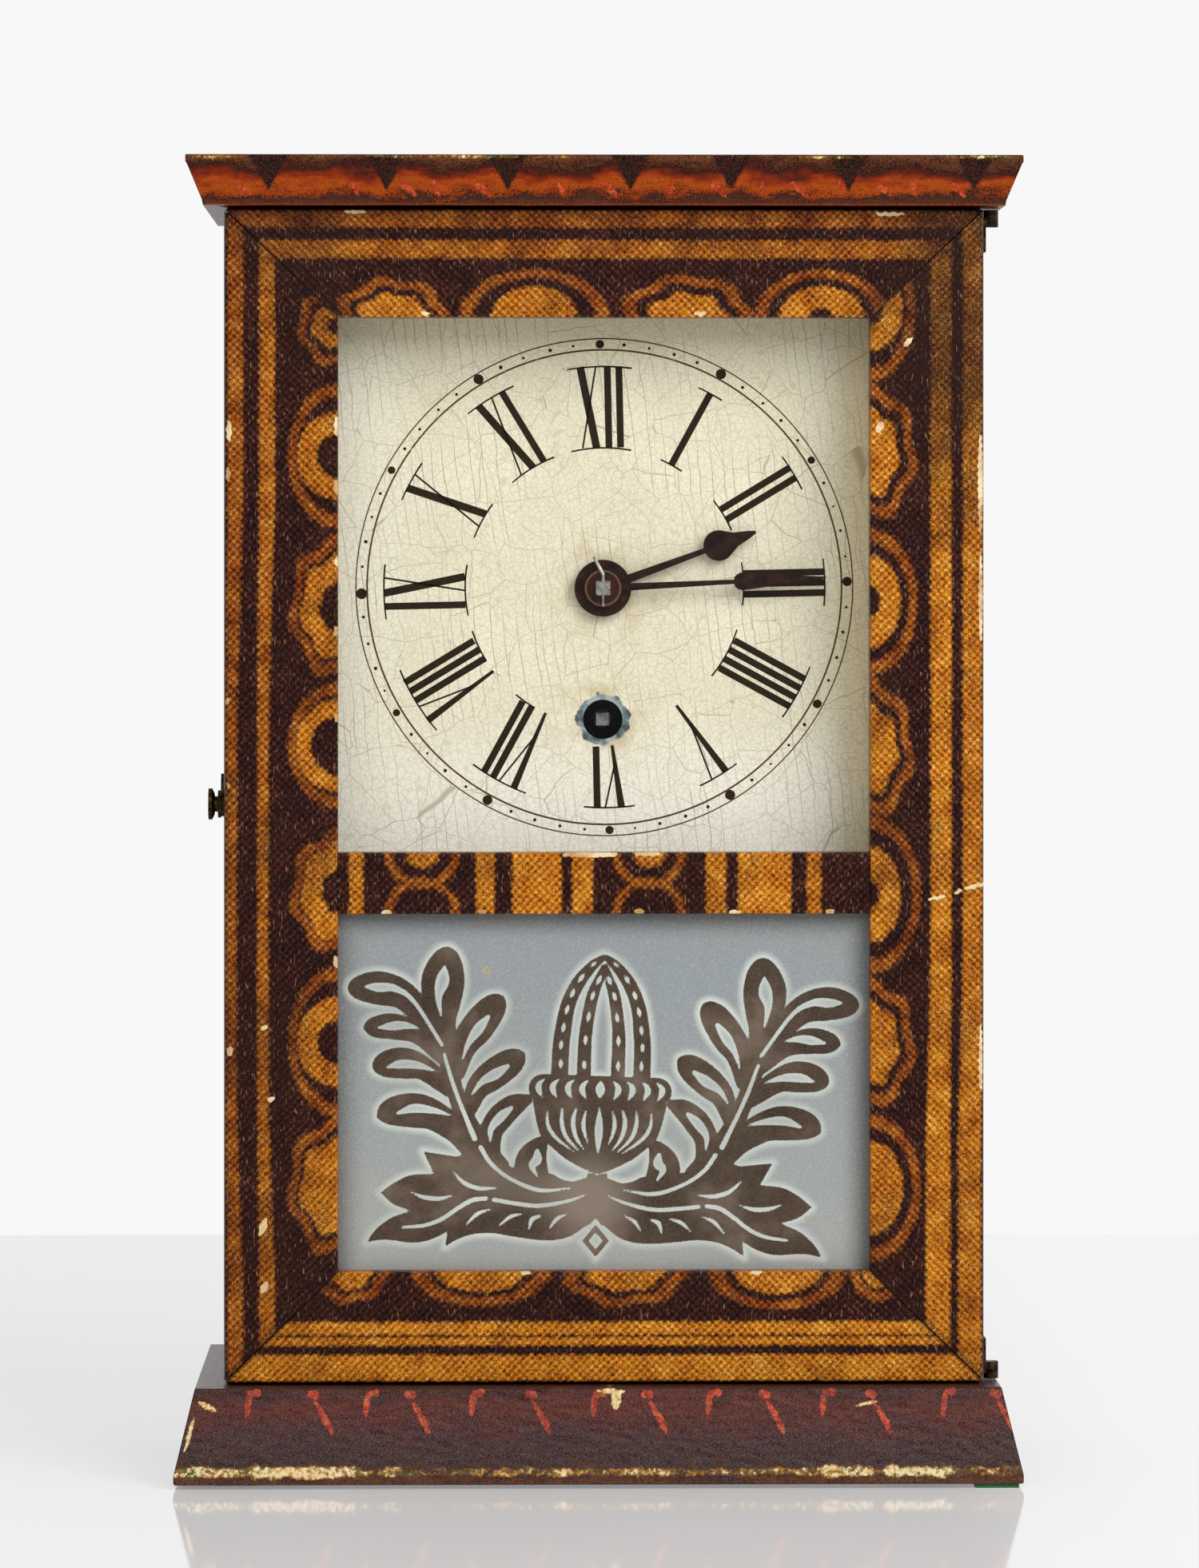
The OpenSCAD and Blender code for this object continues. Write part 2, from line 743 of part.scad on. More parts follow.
module latch_knob() {
  x1 = knob_x0;
  x2 = x1 - knob_foot;
  x3 = x2 - knob_neck;
  color("#6B4A22") at_latch() difference() {
    union() {
      rod_x(knob_r * 0.88, x2, x1);
      rod_x(knob_r * 0.5, x3, x2);
      translate([x3, 0, 0]) rotate([0, -90, 0]) cylinder(r1 = knob_r * 0.7, r2 = knob_r, h = knob_head * 0.4);
      rod_x(knob_r, knob_x1, x3 - knob_head * 0.4);
    }
    rod_x(latch_screw_r + run, knob_x1 - past, x1 + past);
    translate([knob_x1 + knob_dish, 0, 0]) rotate([0, -90, 0])
      cylinder(r1 = latch_screw_r * 1.9, r2 = knob_r * 0.8, h = knob_dish + eps);
  }
}
module latch_screw() {
  head_x = knob_x1 + knob_dish;
  color(steel) at_latch() difference() {
    union() {
      rod_x(latch_screw_r, head_x, -door_x + latch_screw_in);
      rod_x(latch_screw_r * 1.7, head_x - 0.7, head_x);
    }
    box([head_x - past - 0.3, head_x - 0.4], [-3, 3], [-0.2, 0.2]);
  }
}
module catch_pin() {
  color(brass) translate([0, catch_y, latch_z]) rod_x(catch_r, knob_x0 - 0.6, -box_x + catch_in);
}

// Dial and hands -----------------------------------------------------------

module tack_places() {
  for (sx = [-1, 1])
    for (sz = [-1, 1])
      translate([sx * (dial_w / 2 - tack_in), 0, dial_z + sz * (dial_h / 2 - tack_in)]) children();
}
module dial_plate() {
  color(cream) difference() {
    box([-dial_w / 2, dial_w / 2], [dial_y, dial_back_y], [dial_z - dial_h / 2, dial_z + dial_h / 2]);
    from_centre() rod_y(centre_hole_r, dial_y - past, dial_back_y + past);
    from_centre(winding_at) rod_y(winding_hole_r, dial_y - past, dial_back_y + past);
    tack_places() rod_y(tack_r, dial_y - past, dial_back_y + past);
  }
}
module dial_tacks() {
  color(brass) tack_places() {
    rod_y(tack_r, dial_y, dial_back_y + tack_l - 0.5);
    translate([0, dial_y, 0]) rotate([90, 0, 0])
      cylinder(r1 = tack_head_r, r2 = tack_head_r * 0.6, h = tack_head_t);
  }
}
// Outline of one half of the hour hand's blob and beak, from blob to tip
hour_blob_at = 0.755 * hour_hand_l;
hour_blob_r = 0.094 * hour_hand_l;
module hour_outline() {
  l = hour_hand_l;
  rise = [[0.755, 0.094], [0.80, 0.082], [0.835, 0.062], [0.865, 0.045], [0.90, 0.036], [0.95, 0.024], [0.99, 0.010]];
  polygon([for (p = rise) l * p, l * [1, 0], for (i = [len(rise) - 1:-1:0]) l * [rise[i][0], -rise[i][1]]]);
}
module hour_hand() {
  color(blued) from_centre() difference() {
    union() {
      rod_y(hour_collar_r, hour_y - hand_t, hour_y);
      rotate([0, -hour_angle, 0]) {
        along_y(hour_y - hand_t, hour_y) polygon([
          [hour_collar_r - 1, 1.0], [hour_collar_r - 1, -1.0],
          [hour_blob_at - hour_blob_r / 2, -0.6], [hour_blob_at - hour_blob_r / 2, 0.6]
        ]);
        translate([hour_blob_at, 0, 0]) rod_y(hour_blob_r, hour_y - hand_t, hour_y);
        along_y(hour_y - hand_t, hour_y) hour_outline();
      }
    }
    rod_y(pipe_r, hour_y - hand_t - past, hour_y + past);
  }
}
module minute_outline() {
  l = minute_hand_l;
  w = 2.05;
  half = [
    [0.588, 0.55], [0.592, 1.2], [0.603, 1.7], [0.62, w], [0.65, 1.98], [0.70, 1.72],
    [0.76, 1.38], [0.83, 0.98], [0.90, 0.62], [0.96, 0.36], [1, 0.2]
  ];
  polygon([for (p = half) [l * p[0], p[1]], for (i = [len(half) - 1:-1:0]) [l * half[i][0], -half[i][1]]]);
}
module minute_hand() {
  collar_r = hour_collar_r * 2 / 3;
  s = cannon_square / 2;
  color(blued) from_centre() rotate([0, -minute_angle, 0]) difference() {
    union() {
      rod_y(collar_r, minute_y - hand_t, minute_y);
      along_y(minute_y - hand_t, minute_y) polygon([
        [collar_r - 1, 0.9], [collar_r - 1, -0.9], [0.6 * minute_hand_l, -0.5], [0.6 * minute_hand_l, 0.5]
      ]);
      along_y(minute_y - hand_t, minute_y) minute_outline();
    }
    rotate([0, minute_angle, 0]) box([-s, s], [minute_y - hand_t - past, minute_y + past], [-s, s]);
  }
}
taper_r = 0.45;
taper_y = minute_y - hand_t - taper_r - 0.25;
module taper_pin() {
  up = 3.2;
  down = 4.2;
  bend = 28;
  color("silver") from_centre() translate([0, taper_y, 0]) {
    translate([0, 0, -down]) cylinder(r1 = taper_r * 0.7, r2 = taper_r, h = down + up);
    translate([0, 0, up]) sphere(r = taper_r);
    translate([0, 0, up]) rotate([0, -bend, 0]) cylinder(r1 = taper_r, r2 = taper_r * 0.8, h = 4.6);
  }
}

// Plates -------------------------------------------------------------------

screw_r = 1.2;
screw_l = 10;
module screw_places() {
  for (sx = [-1, 1])
    for (z = [plate_up - pillar_in, -plate_down + pillar_in])
      from_centre([sx * (back_plate_w / 2 - block_w / 2), z]) children();
}
plate_corner = 4;
module plate_blank(w, y0, y1) {
  c = plate_corner;
  color(brass) along_y(y0, y1) polygon([
    [-w / 2 + c, centre_z - plate_down], [w / 2 - c, centre_z - plate_down],
    [w / 2, centre_z - plate_down + c], [w / 2, centre_z + plate_up - c],
    [w / 2 - c, centre_z + plate_up], [-w / 2 + c, centre_z + plate_up],
    [-w / 2, centre_z + plate_up - c], [-w / 2, centre_z - plate_down + c]
  ]);
}
// Windows of the plates: left and right edges of each, and its foot and head
window_in = 5;
window_w = 8;
window_r = 3;
window_x1 = front_plate_w / 2 - window_in;
window_x0 = window_x1 - window_w;
big_window_x = [-32, -9];
big_window_z = [12, 40];
small_window_x = [20, window_x1];
small_window_z = [26, 44];
low_window_z = [-40, -8];
// A round-cornered window, x and z its edges from the centre
module window(x, z, y0, y1) {
  r = window_r;
  from_centre() {
    box([x[0] + r, x[1] - r], [y0 - past, y1 + past], z);
    box(x, [y0 - past, y1 + past], [z[0] + r, z[1] - r]);
    for (cx = [x[0] + r, x[1] - r])
      for (cz = [z[0] + r, z[1] - r])
        translate([cx, 0, cz]) rod_y(r, y0 - past, y1 + past);
  }
}
module hole(at, r, y0, y1) {
  from_centre(at) rod_y(r, y0 - past, y1 + past);
}
module plate_windows(y0, y1) {
  window(big_window_x, big_window_z, y0, y1);
  window(small_window_x, small_window_z, y0, y1);
  window([-window_x1, -window_x0], low_window_z, y0, y1);
  window([window_x0, window_x1], low_window_z, y0, y1);
}
module front_plate() {
  y0 = fplate_y;
  y1 = fplate_back_y;
  color(brass) {
    difference() {
      plate_blank(front_plate_w, y0, y1);
      plate_windows(y0, y1);
      for (p = pillar_places) hole(p, pillar_r * 0.65, y0, y1);
      hole([0, 0], centre_r + run, y0, y1);
      hole(winding_at, winding_front_r + run, y0, y1);
      hole(third_at, fine_pivot_r + run, y0, y1);
      hole(escape_at, fine_pivot_r + run, y0, y1);
      hole(verge_at, fine_pivot_r + run, y0, y1);
    }
    // post of the minute wheel, riveted to the plate
    from_centre(post_at) rod_y(post_r, post_end_y, y0 + eps);
    from_centre(post_at) rod_y(post_r + 0.6, minute_wheel_y + motion_t + 0.3, y0 + eps);
  }
}
module back_plate() {
  y0 = bplate_y;
  y1 = bplate_back_y;
  color(brass) difference() {
    plate_blank(back_plate_w, y0, y1);
    plate_windows(y0, y1);
    for (p = pillar_places) hole(p, pillar_r * 0.65, y0, y1);
    hole([0, 0], centre_pivot_r + run, y0, y1);
    hole(winding_at, winding_pivot_r + run, y0, y1);
    hole(third_at, fine_pivot_r + run, y0, y1);
    hole(escape_at, fine_pivot_r + run, y0, y1);
    hole(verge_at, verge_r + run, y0, y1);
    hole(stud_at, stud_r, y0, y1);
    screw_places() rod_y(screw_r, y0 - past, y1 + past);
  }
}
module pillars() {
  r = pillar_r;
  n = r * 0.65;
  g = plate_gap;
  color(brass) for (p = pillar_places) from_centre(p) translate([0, fplate_back_y, 0]) rotate([-90, 0, 0])
    rotate_extrude() polygon([
      [0, -plate_t - 3], [n, -plate_t - 3], [n, 0], [r, 0], [r, g * 0.12], [r * 0.72, g * 0.2],
      [r * 0.72, g * 0.45], [r, g * 0.5], [r * 0.72, g * 0.55], [r * 0.72, g * 0.8], [r, g * 0.88],
      [r, g], [n, g], [n, g + plate_t], [0, g + plate_t]
    ]);
}
module pillar_nuts() {
  color(steel) for (p = pillar_places) from_centre(p) difference() {
    translate([0, fplate_y, 0]) rotate([90, 0, 0]) cylinder(r = pillar_r * 1.35, h = 2, $fn = 6);
    rod_y(pillar_r * 0.65, fplate_y - 3, fplate_y + past);
  }
}
module movement_screws() {
  color(steel) screw_places() difference() {
    union() {
      rod_y(screw_r, bplate_y, bplate_back_y + screw_l - 0.5);
      rod_y(screw_r * 1.9, bplate_y - 1.3, bplate_y);
    }
    box([-4, 4], [bplate_y - 2.3, bplate_y - 0.8], [-0.25, 0.25]);
  }
}

// Wheels -------------------------------------------------------------------

// Pin-wheel gearing: a tooth flank is the path of a trundle's middle, rolled on the
// wheel's pitch circle, set in by the trundle's radius.
function rolled(R, r, t) = let(k = (R + r) / r) [
  (R + r) * cos(t) - r * cos(k * t),
  (R + r) * sin(t) - r * sin(k * t)
];
function flank_point(R, r, q, t) = t < 0.001
  ? [R * cos(q / R * 180 / PI), R * sin(q / R * 180 / PI)]
  : let(c = rolled(R, r, t), d = R * [cos(t), sin(t)] - c) c + q / norm(d) * d;
function roll_limit(R, r, a) = r / R * acos(((R + r) * (R + r) + r * r - (R + a) * (R + a)) / (2 * r * (R + r)));
// Outline of a wheel with n teeth of module m for a lantern of p trundles, a gap at angle gap_at
module tooth_outline(n, m, p, gap_at) {
  R = n * m / 2;
  r = p * m / 2;
  q = trundle * m;
  half = (PI * m - 2 * q - backlash * m) / 2 / R * 180 / PI;
  back = half + q / R * 180 / PI;
  steps = 3;
  top = roll_limit(R, r, addendum * m);
  flank = [for (i = [0:steps]) flank_point(R, r, q, top * i / steps)];
  polar = [for (f = flank) [norm(f), atan2(f[1], f[0]) - back]];
  root = R - q - root_play * m;
  tooth = concat(
    [[root, -half]], polar,
    [for (i = [steps:-1:0]) [polar[i][0], -polar[i][1]]], [[root, half]]
  );
  polygon([
    for (k = [0:n - 1]) let(a = gap_at + (k + 0.5) * 360 / n)
      for (f = tooth) f[0] * [cos(a + f[1]), sin(a + f[1])]
  ]);
}
// Toothed disc with crossings: rim, arms and hub, between y0 and y1
module crossed_wheel(n, m, p, gap_at, rim, hub, arms, arm_w, y0, y1) {
  root = n * m / 2 - trundle * m;
  difference() {
    along_y(y0, y1) tooth_outline(n, m, p, gap_at);
    difference() {
      ring_y(root - rim, hub, y0 - past, y1 + past);
      for (k = [0:arms - 1]) rotate([0, k * 360 / arms, 0])
        box([0, root], [y0 - 2 * past, y1 + 2 * past], [-arm_w / 2, arm_w / 2]);
    }
  }
}
// Lantern pinion: p trundles between two shrouds, round an arbor of radius core
module lantern(p, m, core, pin_at, y0, y1) {
  r = p * m / 2;
  q = trundle * m;
  shroud = r + q + 0.4;
  rod_y(shroud, y0, y0 + shroud_t);
  rod_y(shroud, y1 - shroud_t, y1);
  for (k = [0:p - 1]) rotate([0, -pin_at - k * 360 / p, 0])
    along_y(y0 + shroud_t / 2, y1 - shroud_t / 2) translate([r, 0]) circle(r = q, $fn = 12);
  rod_y(core, y0, y1);
}
module bored(r, y0, y1) {
  difference() {
    children();
    rod_y(r, y0 - 5, y1 + 5);
  }
}
function turn_of(v) = atan2(v[1], v[0]);
third_line = turn_of(third_at);
escape_line = turn_of(escape_at - third_at);
lantern_half = shroud_play + shroud_t;

// Winding arbor with its ratchet wheel
ratchet_teeth = 24;
ratchet_root = ratchet_r - 1.3;
ratchet_turn = 200;
module ratchet_outline() {
  step = 360 / ratchet_teeth;
  polygon([
    for (k = [0:ratchet_teeth - 1]) let(a = ratchet_turn + k * step)
      each [ratchet_r * [cos(a), sin(a)], ratchet_root * [cos(a), sin(a)]]
  ]);
}
winding_end_y = dial_y + 4;
module winding_arbor() {
  s = square / 2;
  color(steel) from_centre(winding_at) {
    box([-s, s], [winding_end_y, fplate_y - 5], [-s, s]);
    rod_y(winding_front_r, fplate_y - 6, fplate_back_y + end_shake);
    rod_y(winding_r, fplate_back_y + end_shake, spring_y);
    rod_y(barrel_r, spring_y - 0.5, spring_y + spring_w + 0.5);
    rod_y(winding_front_r, spring_y + spring_w, bplate_y - end_shake);
    rod_y(winding_pivot_r, bplate_y - past, bplate_y + pivot_l);
    // hook for the inner end of the mainspring
    translate([0, spring_y + spring_w / 2, 0]) rod_x(0.7, 0, hook_r);
    along_y(ratchet_y, ratchet_y + ratchet_t) ratchet_outline();
  }
}
module main_wheel() {
  y0 = main_y;
  y1 = main_y + main_t;
  color(brass) from_centre(winding_at) {
    difference() {
      crossed_wheel(main_teeth, main_m, centre_pins, 90, 2.6, 18, 6, 4, y0, y1);
      rod_y(winding_r + run, y0 - past, y1 + past);
    }
    // rivets of the click and of its spring
    rotate([0, -ratchet_turn, 0]) {
      translate([click_pivot[0], 0, click_pivot[1]]) rod_y(click_rivet_r, y1 - eps, ratchet_y + click_t + 0.2);
    }
  }
}
click_t = 1.3;
click_rivet_r = 0.9;
click_boss_r = 2;
click_pivot = [ratchet_r + 1.4, ratchet_r + 2.6];
module click() {
  p = click_pivot;
  gap = 0.45;
  color(steel) from_centre(winding_at) rotate([0, -ratchet_turn, 0]) difference() {
    union() {
      translate([p[0], 0, p[1]]) rod_y(click_boss_r, ratchet_y, ratchet_y + click_t);
      along_y(ratchet_y, ratchet_y + click_t) polygon([
        [ratchet_root + 0.4, gap], [ratchet_r + 0.9, gap],
        [p[0] + click_boss_r - 0.4, p[1] - 1], [p[0] - click_boss_r + 0.3, p[1]],
        [ratchet_r + 0.15, ratchet_r * 0.27]
      ]);
    }
    translate([p[0], 0, p[1]]) rod_y(click_rivet_r + run, ratchet_y - past, ratchet_y + click_t + past);
  }
}
module click_spring() {
  p = click_pivot;
  foot = [ratchet_r + 5.6, -2];
  tip = p + [click_boss_r + 0.6, -2];
  t = 0.4;
  color(brass) from_centre(winding_at) rotate([0, -ratchet_turn, 0]) {
    translate([foot[0], 0, foot[1]]) rod_y(1.1, main_y + main_t, ratchet_y + click_t);
    along_y(ratchet_y + 0.1, ratchet_y + click_t - 0.1) bar(foot, tip, t);
  }
}
// Mainspring: a spiral of even pitch, then a straight end to an eye round a pillar
module mainspring() {
  t = spring_t;
  eye_in = pillar_r + 0.3;
  out_r = -anchor_at[1] + eye_in + t / 2;
  step = 15;
  turns = spring_turns;
  last = turns * 360;
  // the outer end lies straight below the arbor
  function coil(a, w) = (spring_in_r + t / 2 + (out_r - spring_in_r - t / 2) * a / last + w) * [cos(a - 90), sin(a - 90)];
  color(steel) from_centre(winding_at) {
    along_y(spring_y, spring_y + spring_w) polygon(concat(
      [for (a = [0:step:last]) coil(a, t / 2)],
      [[anchor_at[0], -out_r - t / 2], [anchor_at[0], -out_r + t / 2]],
      [for (a = [last:-step:0]) coil(a, -t / 2)]
    ));
    difference() {
      translate([anchor_at[0], 0, anchor_at[1]]) ring_y(eye_in + t, eye_in, spring_y, spring_y + spring_w);
      translate([anchor_at[0], 0, anchor_at[1]])
        box([-eye_in - past, -1], [spring_y - past, spring_y + spring_w + past], [-eye_in - past, 0]);
    }
  }
}

// Centre arbor with its lantern, and the centre wheel riveted on it
module centre_arbor() {
  mid = main_y + main_t / 2;
  h = lantern_half + main_t / 2;
  color(steel) from_centre() {
    rod_y(centre_front_r, cannon_end_y + 8, fplate_y);
    rod_y(centre_r, cannon_back_y + 0.1, bplate_y - end_shake);
    rod_y(centre_pivot_r, bplate_y - past, bplate_y + pivot_l);
    lantern(centre_pins, main_m, centre_r, -90, mid - h, mid + h);
    rod_y(centre_r + 1.2, centre_y + wheel_t, centre_y + wheel_t + 2);
  }
}
module centre_wheel() {
  color(brass) from_centre()
    bored(centre_r, centre_y, centre_y + wheel_t)
      crossed_wheel(centre_teeth, centre_m, third_pins, third_line, 2.2, 4.4, 4, 2, centre_y, centre_y + wheel_t);
}
module third_wheel() {
  mid = centre_y + wheel_t / 2;
  h = lantern_half + wheel_t / 2;
  color(brass) from_centre(third_at) {
    lantern(third_pins, centre_m, third_r, third_line + 180, mid - h, mid + h);
    rod_y(third_r, fplate_back_y + end_shake, bplate_y - end_shake);
    rod_y(fine_pivot_r, fplate_y + 0.1, bplate_back_y - 0.1);
    rod_y(2.4, third_y + wheel_t - eps, third_y + wheel_t + 1.6);
    crossed_wheel(third_teeth, third_m, escape_pins, escape_line, 1.9, 3.6, 4, 1.8, third_y, third_y + wheel_t);
  }
}
escape_wheel_t = 0.8;
escape_tooth = 2.2;
// Tips stand so that each pallet meets a space between two teeth
escape_phase = 4.5;
module escape_outline() {
  step = 360 / escape_teeth;
  polygon([
    for (k = [0:escape_teeth - 1]) let(a = escape_phase + k * step, root = escape_r - escape_tooth)
      each [
        root * [cos(a - 1.1), sin(a - 1.1)],
        escape_r * [cos(a - 0.3), sin(a - 0.3)],
        escape_r * [cos(a + 0.3), sin(a + 0.3)],
        root * [cos(a + 3.8), sin(a + 3.8)]
      ]
  ]);
}
module escape_wheel() {
  mid = third_y + wheel_t / 2;
  h = lantern_half + wheel_t / 2;
  y0 = escape_y;
  y1 = escape_y + escape_wheel_t;
  rim = escape_r - escape_tooth - 1.6;
  color(brass) from_centre(escape_at) {
    lantern(escape_pins, third_m, escape_arbor_r, escape_line + 180, mid - h, mid + h);
    rod_y(escape_arbor_r, fplate_back_y + end_shake, bplate_y - end_shake);
    rod_y(fine_pivot_r, fplate_y + 0.1, bplate_back_y - 0.1);
    rod_y(2, y1 - eps, y1 + 1.4);
    difference() {
      along_y(y0, y1) escape_outline();
      difference() {
        ring_y(rim, 3, y0 - past, y1 + past);
        for (k = [0:3]) rotate([0, k * 90 + 45, 0]) box([0, rim + 1], [y0 - 2 * past, y1 + 2 * past], [-0.8, 0.8]);
      }
    }
  }
}

// Verge: a bent steel strip whose two ends reach to the escape wheel
pallet_play = 0.15;
pallet_t = 0.5;
pallet_l = 3.2;
module verge() {
  lean = pallet_span * 180 / escape_teeth;
  d = [sin(lean), cos(lean)];
  nib = (escape_r + pallet_play) * d - [0, verge_rise];
  knee = nib + pallet_l * d;
  color(steel) from_centre(verge_at) {
    rod_y(1.7, verge_y, verge_y + verge_t);
    both_sides() {
      along_y(verge_y, verge_y + verge_t) bar([0, 0], knee + [0.2, 0], 1);
      along_y(verge_y, verge_y + verge_t) bar(nib, knee, pallet_t);
    }
    rod_y(verge_r, fplate_back_y + end_shake, crutch_y + 1.5);
    rod_y(fine_pivot_r, fplate_y + 0.1, fplate_back_y + past);
  }
}
module crutch() {
  foot_t = 1.2;
  z = -crutch_l;
  wire_y = crutch_y + 0.7;
  color(steel) from_centre(verge_at) {
    ring_y(1.9, verge_r, crutch_y, crutch_y + 1.4);
    translate([0, wire_y, z + eps]) cylinder(r = crutch_r, h = crutch_l - 1.5);
    difference() {
      box([-2.2, 2.2], [wire_y - crutch_r, pendulum_y + 3], [z - foot_t, z + 2 * eps]);
      box([-rod_r - slot_play, rod_r + slot_play], [pendulum_y - rod_r - slot_play, pendulum_y + 4],
        [z - foot_t - past, z + past]);
    }
  }
}

// Motion work
module minute_pinion() {
  s = cannon_square / 2;
  mid = minute_wheel_y + motion_t / 2;
  h = shroud_play + shroud_t + motion_t / 2;
  color(brass) from_centre() difference() {
    union() {
      lantern(minute_pins, minute_m, cannon_r, 0, mid - h, mid + h);
      rod_y(cannon_r, minute_y + 0.5, cannon_back_y);
      intersection() {
        box([-s, s], [cannon_end_y, minute_y + 1], [-s, s]);
        rod_y(s * 1.33, cannon_end_y - past, minute_y + 2);
      }
    }
    rod_y(centre_front_r + run, cannon_end_y + 7.5, fplate_y + past);
    // cross hole for the taper pin
    translate([0, taper_y, -5]) cylinder(r = taper_r + 0.02, h = 10);
  }
}
module minute_wheel() {
  y0 = minute_wheel_y;
  y1 = y0 + motion_t;
  hour_mid = hour_wheel_y + motion_t / 2;
  front = hour_mid - shroud_play - shroud_t - motion_t / 2;
  color(brass) from_centre(post_at) difference() {
    union() {
      crossed_wheel(minute_teeth, minute_m, minute_pins, 180, 1.6, 3.8, 4, 1.6, y0, y1);
      lantern(hour_pins, hour_m, post_r + 0.35, 180, front, y0 + eps);
    }
    rod_y(post_r + run, front - past, y1 + past);
  }
}
module hour_wheel() {
  y0 = hour_wheel_y;
  y1 = y0 + motion_t;
  color(brass) from_centre() difference() {
    union() {
      crossed_wheel(hour_teeth, hour_m, hour_pins, 0, 1.7, 4.4, 4, 1.8, y0, y1);
      rod_y(pipe_r + 0.8, y0 - 1.2, y1);
      rod_y(pipe_r, hour_y - hand_t - 0.1, y0);
    }
    rod_y(pipe_bore_r, hour_y - hand_t - past, y1 + past);
  }
}

// Pendulum -----------------------------------------------------------------

module suspension_post() {
  w = 2;
  y0 = pendulum_y - 1.9;
  color(brass) {
    from_centre(stud_at) rod_y(stud_r, bplate_y, pendulum_y);
    box([-w, w], [y0, y0 + 3.8], [bend_z + post_gap_z, bend_z + stud_rise + 2.2]);
  }
}
module suspension_spring() {
  s = spring_strip;
  color("silver") box([-s[1] / 2, s[1] / 2], [pendulum_y - s[0] / 2, pendulum_y + s[0] / 2], [bend_z - s[2], bend_z]);
}
module pendulum_rod() {
  b = rod_block;
  top = bend_z - spring_strip[2];
  s = spring_strip;
  color(brass) {
    difference() {
      box([-b[1] / 2, b[1] / 2], [pendulum_y - b[0] / 2 - 0.3, pendulum_y + b[0] / 2 + 0.3], [top - 2, top + b[2] - 2]);
      box([-s[1] / 2, s[1] / 2], [pendulum_y - s[0] / 2, pendulum_y + s[0] / 2], [top, top + b[2]]);
    }
    translate([0, pendulum_y, bend_z - pendulum_l - bob_r - 7]) cylinder(r = rod_r, h = pendulum_l + bob_r + 7 - s[2] - 1);
  }
}
module pendulum_bob() {
  lens_r = (bob_r * bob_r + bob_t * bob_t / 4) / bob_t;
  color(brass) translate([0, pendulum_y, bend_z - pendulum_l]) difference() {
    intersection() {
      translate([0, lens_r - bob_t / 2, 0]) sphere(r = lens_r, $fn = 96);
      translate([0, bob_t / 2 - lens_r, 0]) sphere(r = lens_r, $fn = 96);
      rod_y(bob_r - 0.3, -bob_t, bob_t);
    }
    translate([0, 0, -2 * bob_r]) cylinder(r = rod_r, h = 4 * bob_r);
  }
}
module rating_nut() {
  color(brass) translate([0, pendulum_y, bend_z - pendulum_l - bob_r - nut_h]) difference() {
    cylinder(r = nut_r, h = nut_h);
    translate([0, 0, -past]) cylinder(r = rod_r, h = nut_h + 2 * past);
  }
}

case_side_left();
case_side_right();
case_top_board();
case_bottom_board();
back_board();
cornice_front();
cornice_left();
cornice_right();
base_front();
base_left();
base_right();
glue_blocks();
felt_pads();
dial_strips();
movement_blocks();
door_top_rail();
door_bottom_rail();
door_left_stile();
door_right_stile();
door_middle_rail();
dial_glass();
tablet_glass();
glazing_beads();
hinge_ears_door();
hinge_ears_case();
hinge_pins();
latch_hook();
latch_knob();
latch_screw();
catch_pin();
dial_plate();
dial_tacks();
hour_hand();
minute_hand();
taper_pin();
front_plate();
back_plate();
pillars();
pillar_nuts();
movement_screws();
mainspring();
winding_arbor();
main_wheel();
click();
click_spring();
centre_wheel();
centre_arbor();
third_wheel();
escape_wheel();
minute_pinion();
minute_wheel();
hour_wheel();
verge();
crutch();
suspension_post();
suspension_spring();
pendulum_rod();
pendulum_bob();
rating_nut();
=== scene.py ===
"""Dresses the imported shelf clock: printed mouldings, painted dial, stencilled tablet, metals and studio.

Lengths here are millimetres in the clock's own frame: x to the viewer's right, y away from the
viewer, z up from the surface that the clock stands on. They turn to metres when a mesh is placed.
"""

import json
import math
from contextlib import contextmanager

import bpy
import numpy as np
from bpy.props import FloatProperty, FloatVectorProperty, PointerProperty
from bpy.types import Operator, Panel, PropertyGroup
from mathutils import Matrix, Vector


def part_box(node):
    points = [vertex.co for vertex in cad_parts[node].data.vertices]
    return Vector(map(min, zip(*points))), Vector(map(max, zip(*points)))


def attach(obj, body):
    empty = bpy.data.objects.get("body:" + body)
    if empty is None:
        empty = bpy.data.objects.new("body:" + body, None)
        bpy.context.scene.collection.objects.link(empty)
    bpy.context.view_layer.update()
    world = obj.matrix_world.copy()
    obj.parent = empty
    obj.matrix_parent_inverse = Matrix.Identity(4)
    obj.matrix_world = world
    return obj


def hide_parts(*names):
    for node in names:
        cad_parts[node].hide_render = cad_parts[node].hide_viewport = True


bl_info = {
    "name": "Cottage shelf clock",
    "version": (1, 0, 0),
    "blender": (4, 5, 0),
    "location": "3D View > Sidebar > Clock",
    "description": "Finishes a small shelf clock with a printed door, a crazed dial and a frosted tablet",
    "category": "Add Mesh",
}

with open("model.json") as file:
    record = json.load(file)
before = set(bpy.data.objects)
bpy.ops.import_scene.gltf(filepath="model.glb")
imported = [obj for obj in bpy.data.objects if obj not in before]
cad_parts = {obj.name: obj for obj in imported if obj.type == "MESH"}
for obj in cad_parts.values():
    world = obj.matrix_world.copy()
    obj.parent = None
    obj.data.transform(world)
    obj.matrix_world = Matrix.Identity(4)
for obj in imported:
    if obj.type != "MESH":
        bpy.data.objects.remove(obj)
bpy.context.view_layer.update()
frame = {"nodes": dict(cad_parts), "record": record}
MM = 0.001


def corners(node_name):
    """Lowest and highest corner of a CAD node in millimetres."""
    low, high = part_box(node_name)
    return np.array(low) / MM, np.array(high) / MM


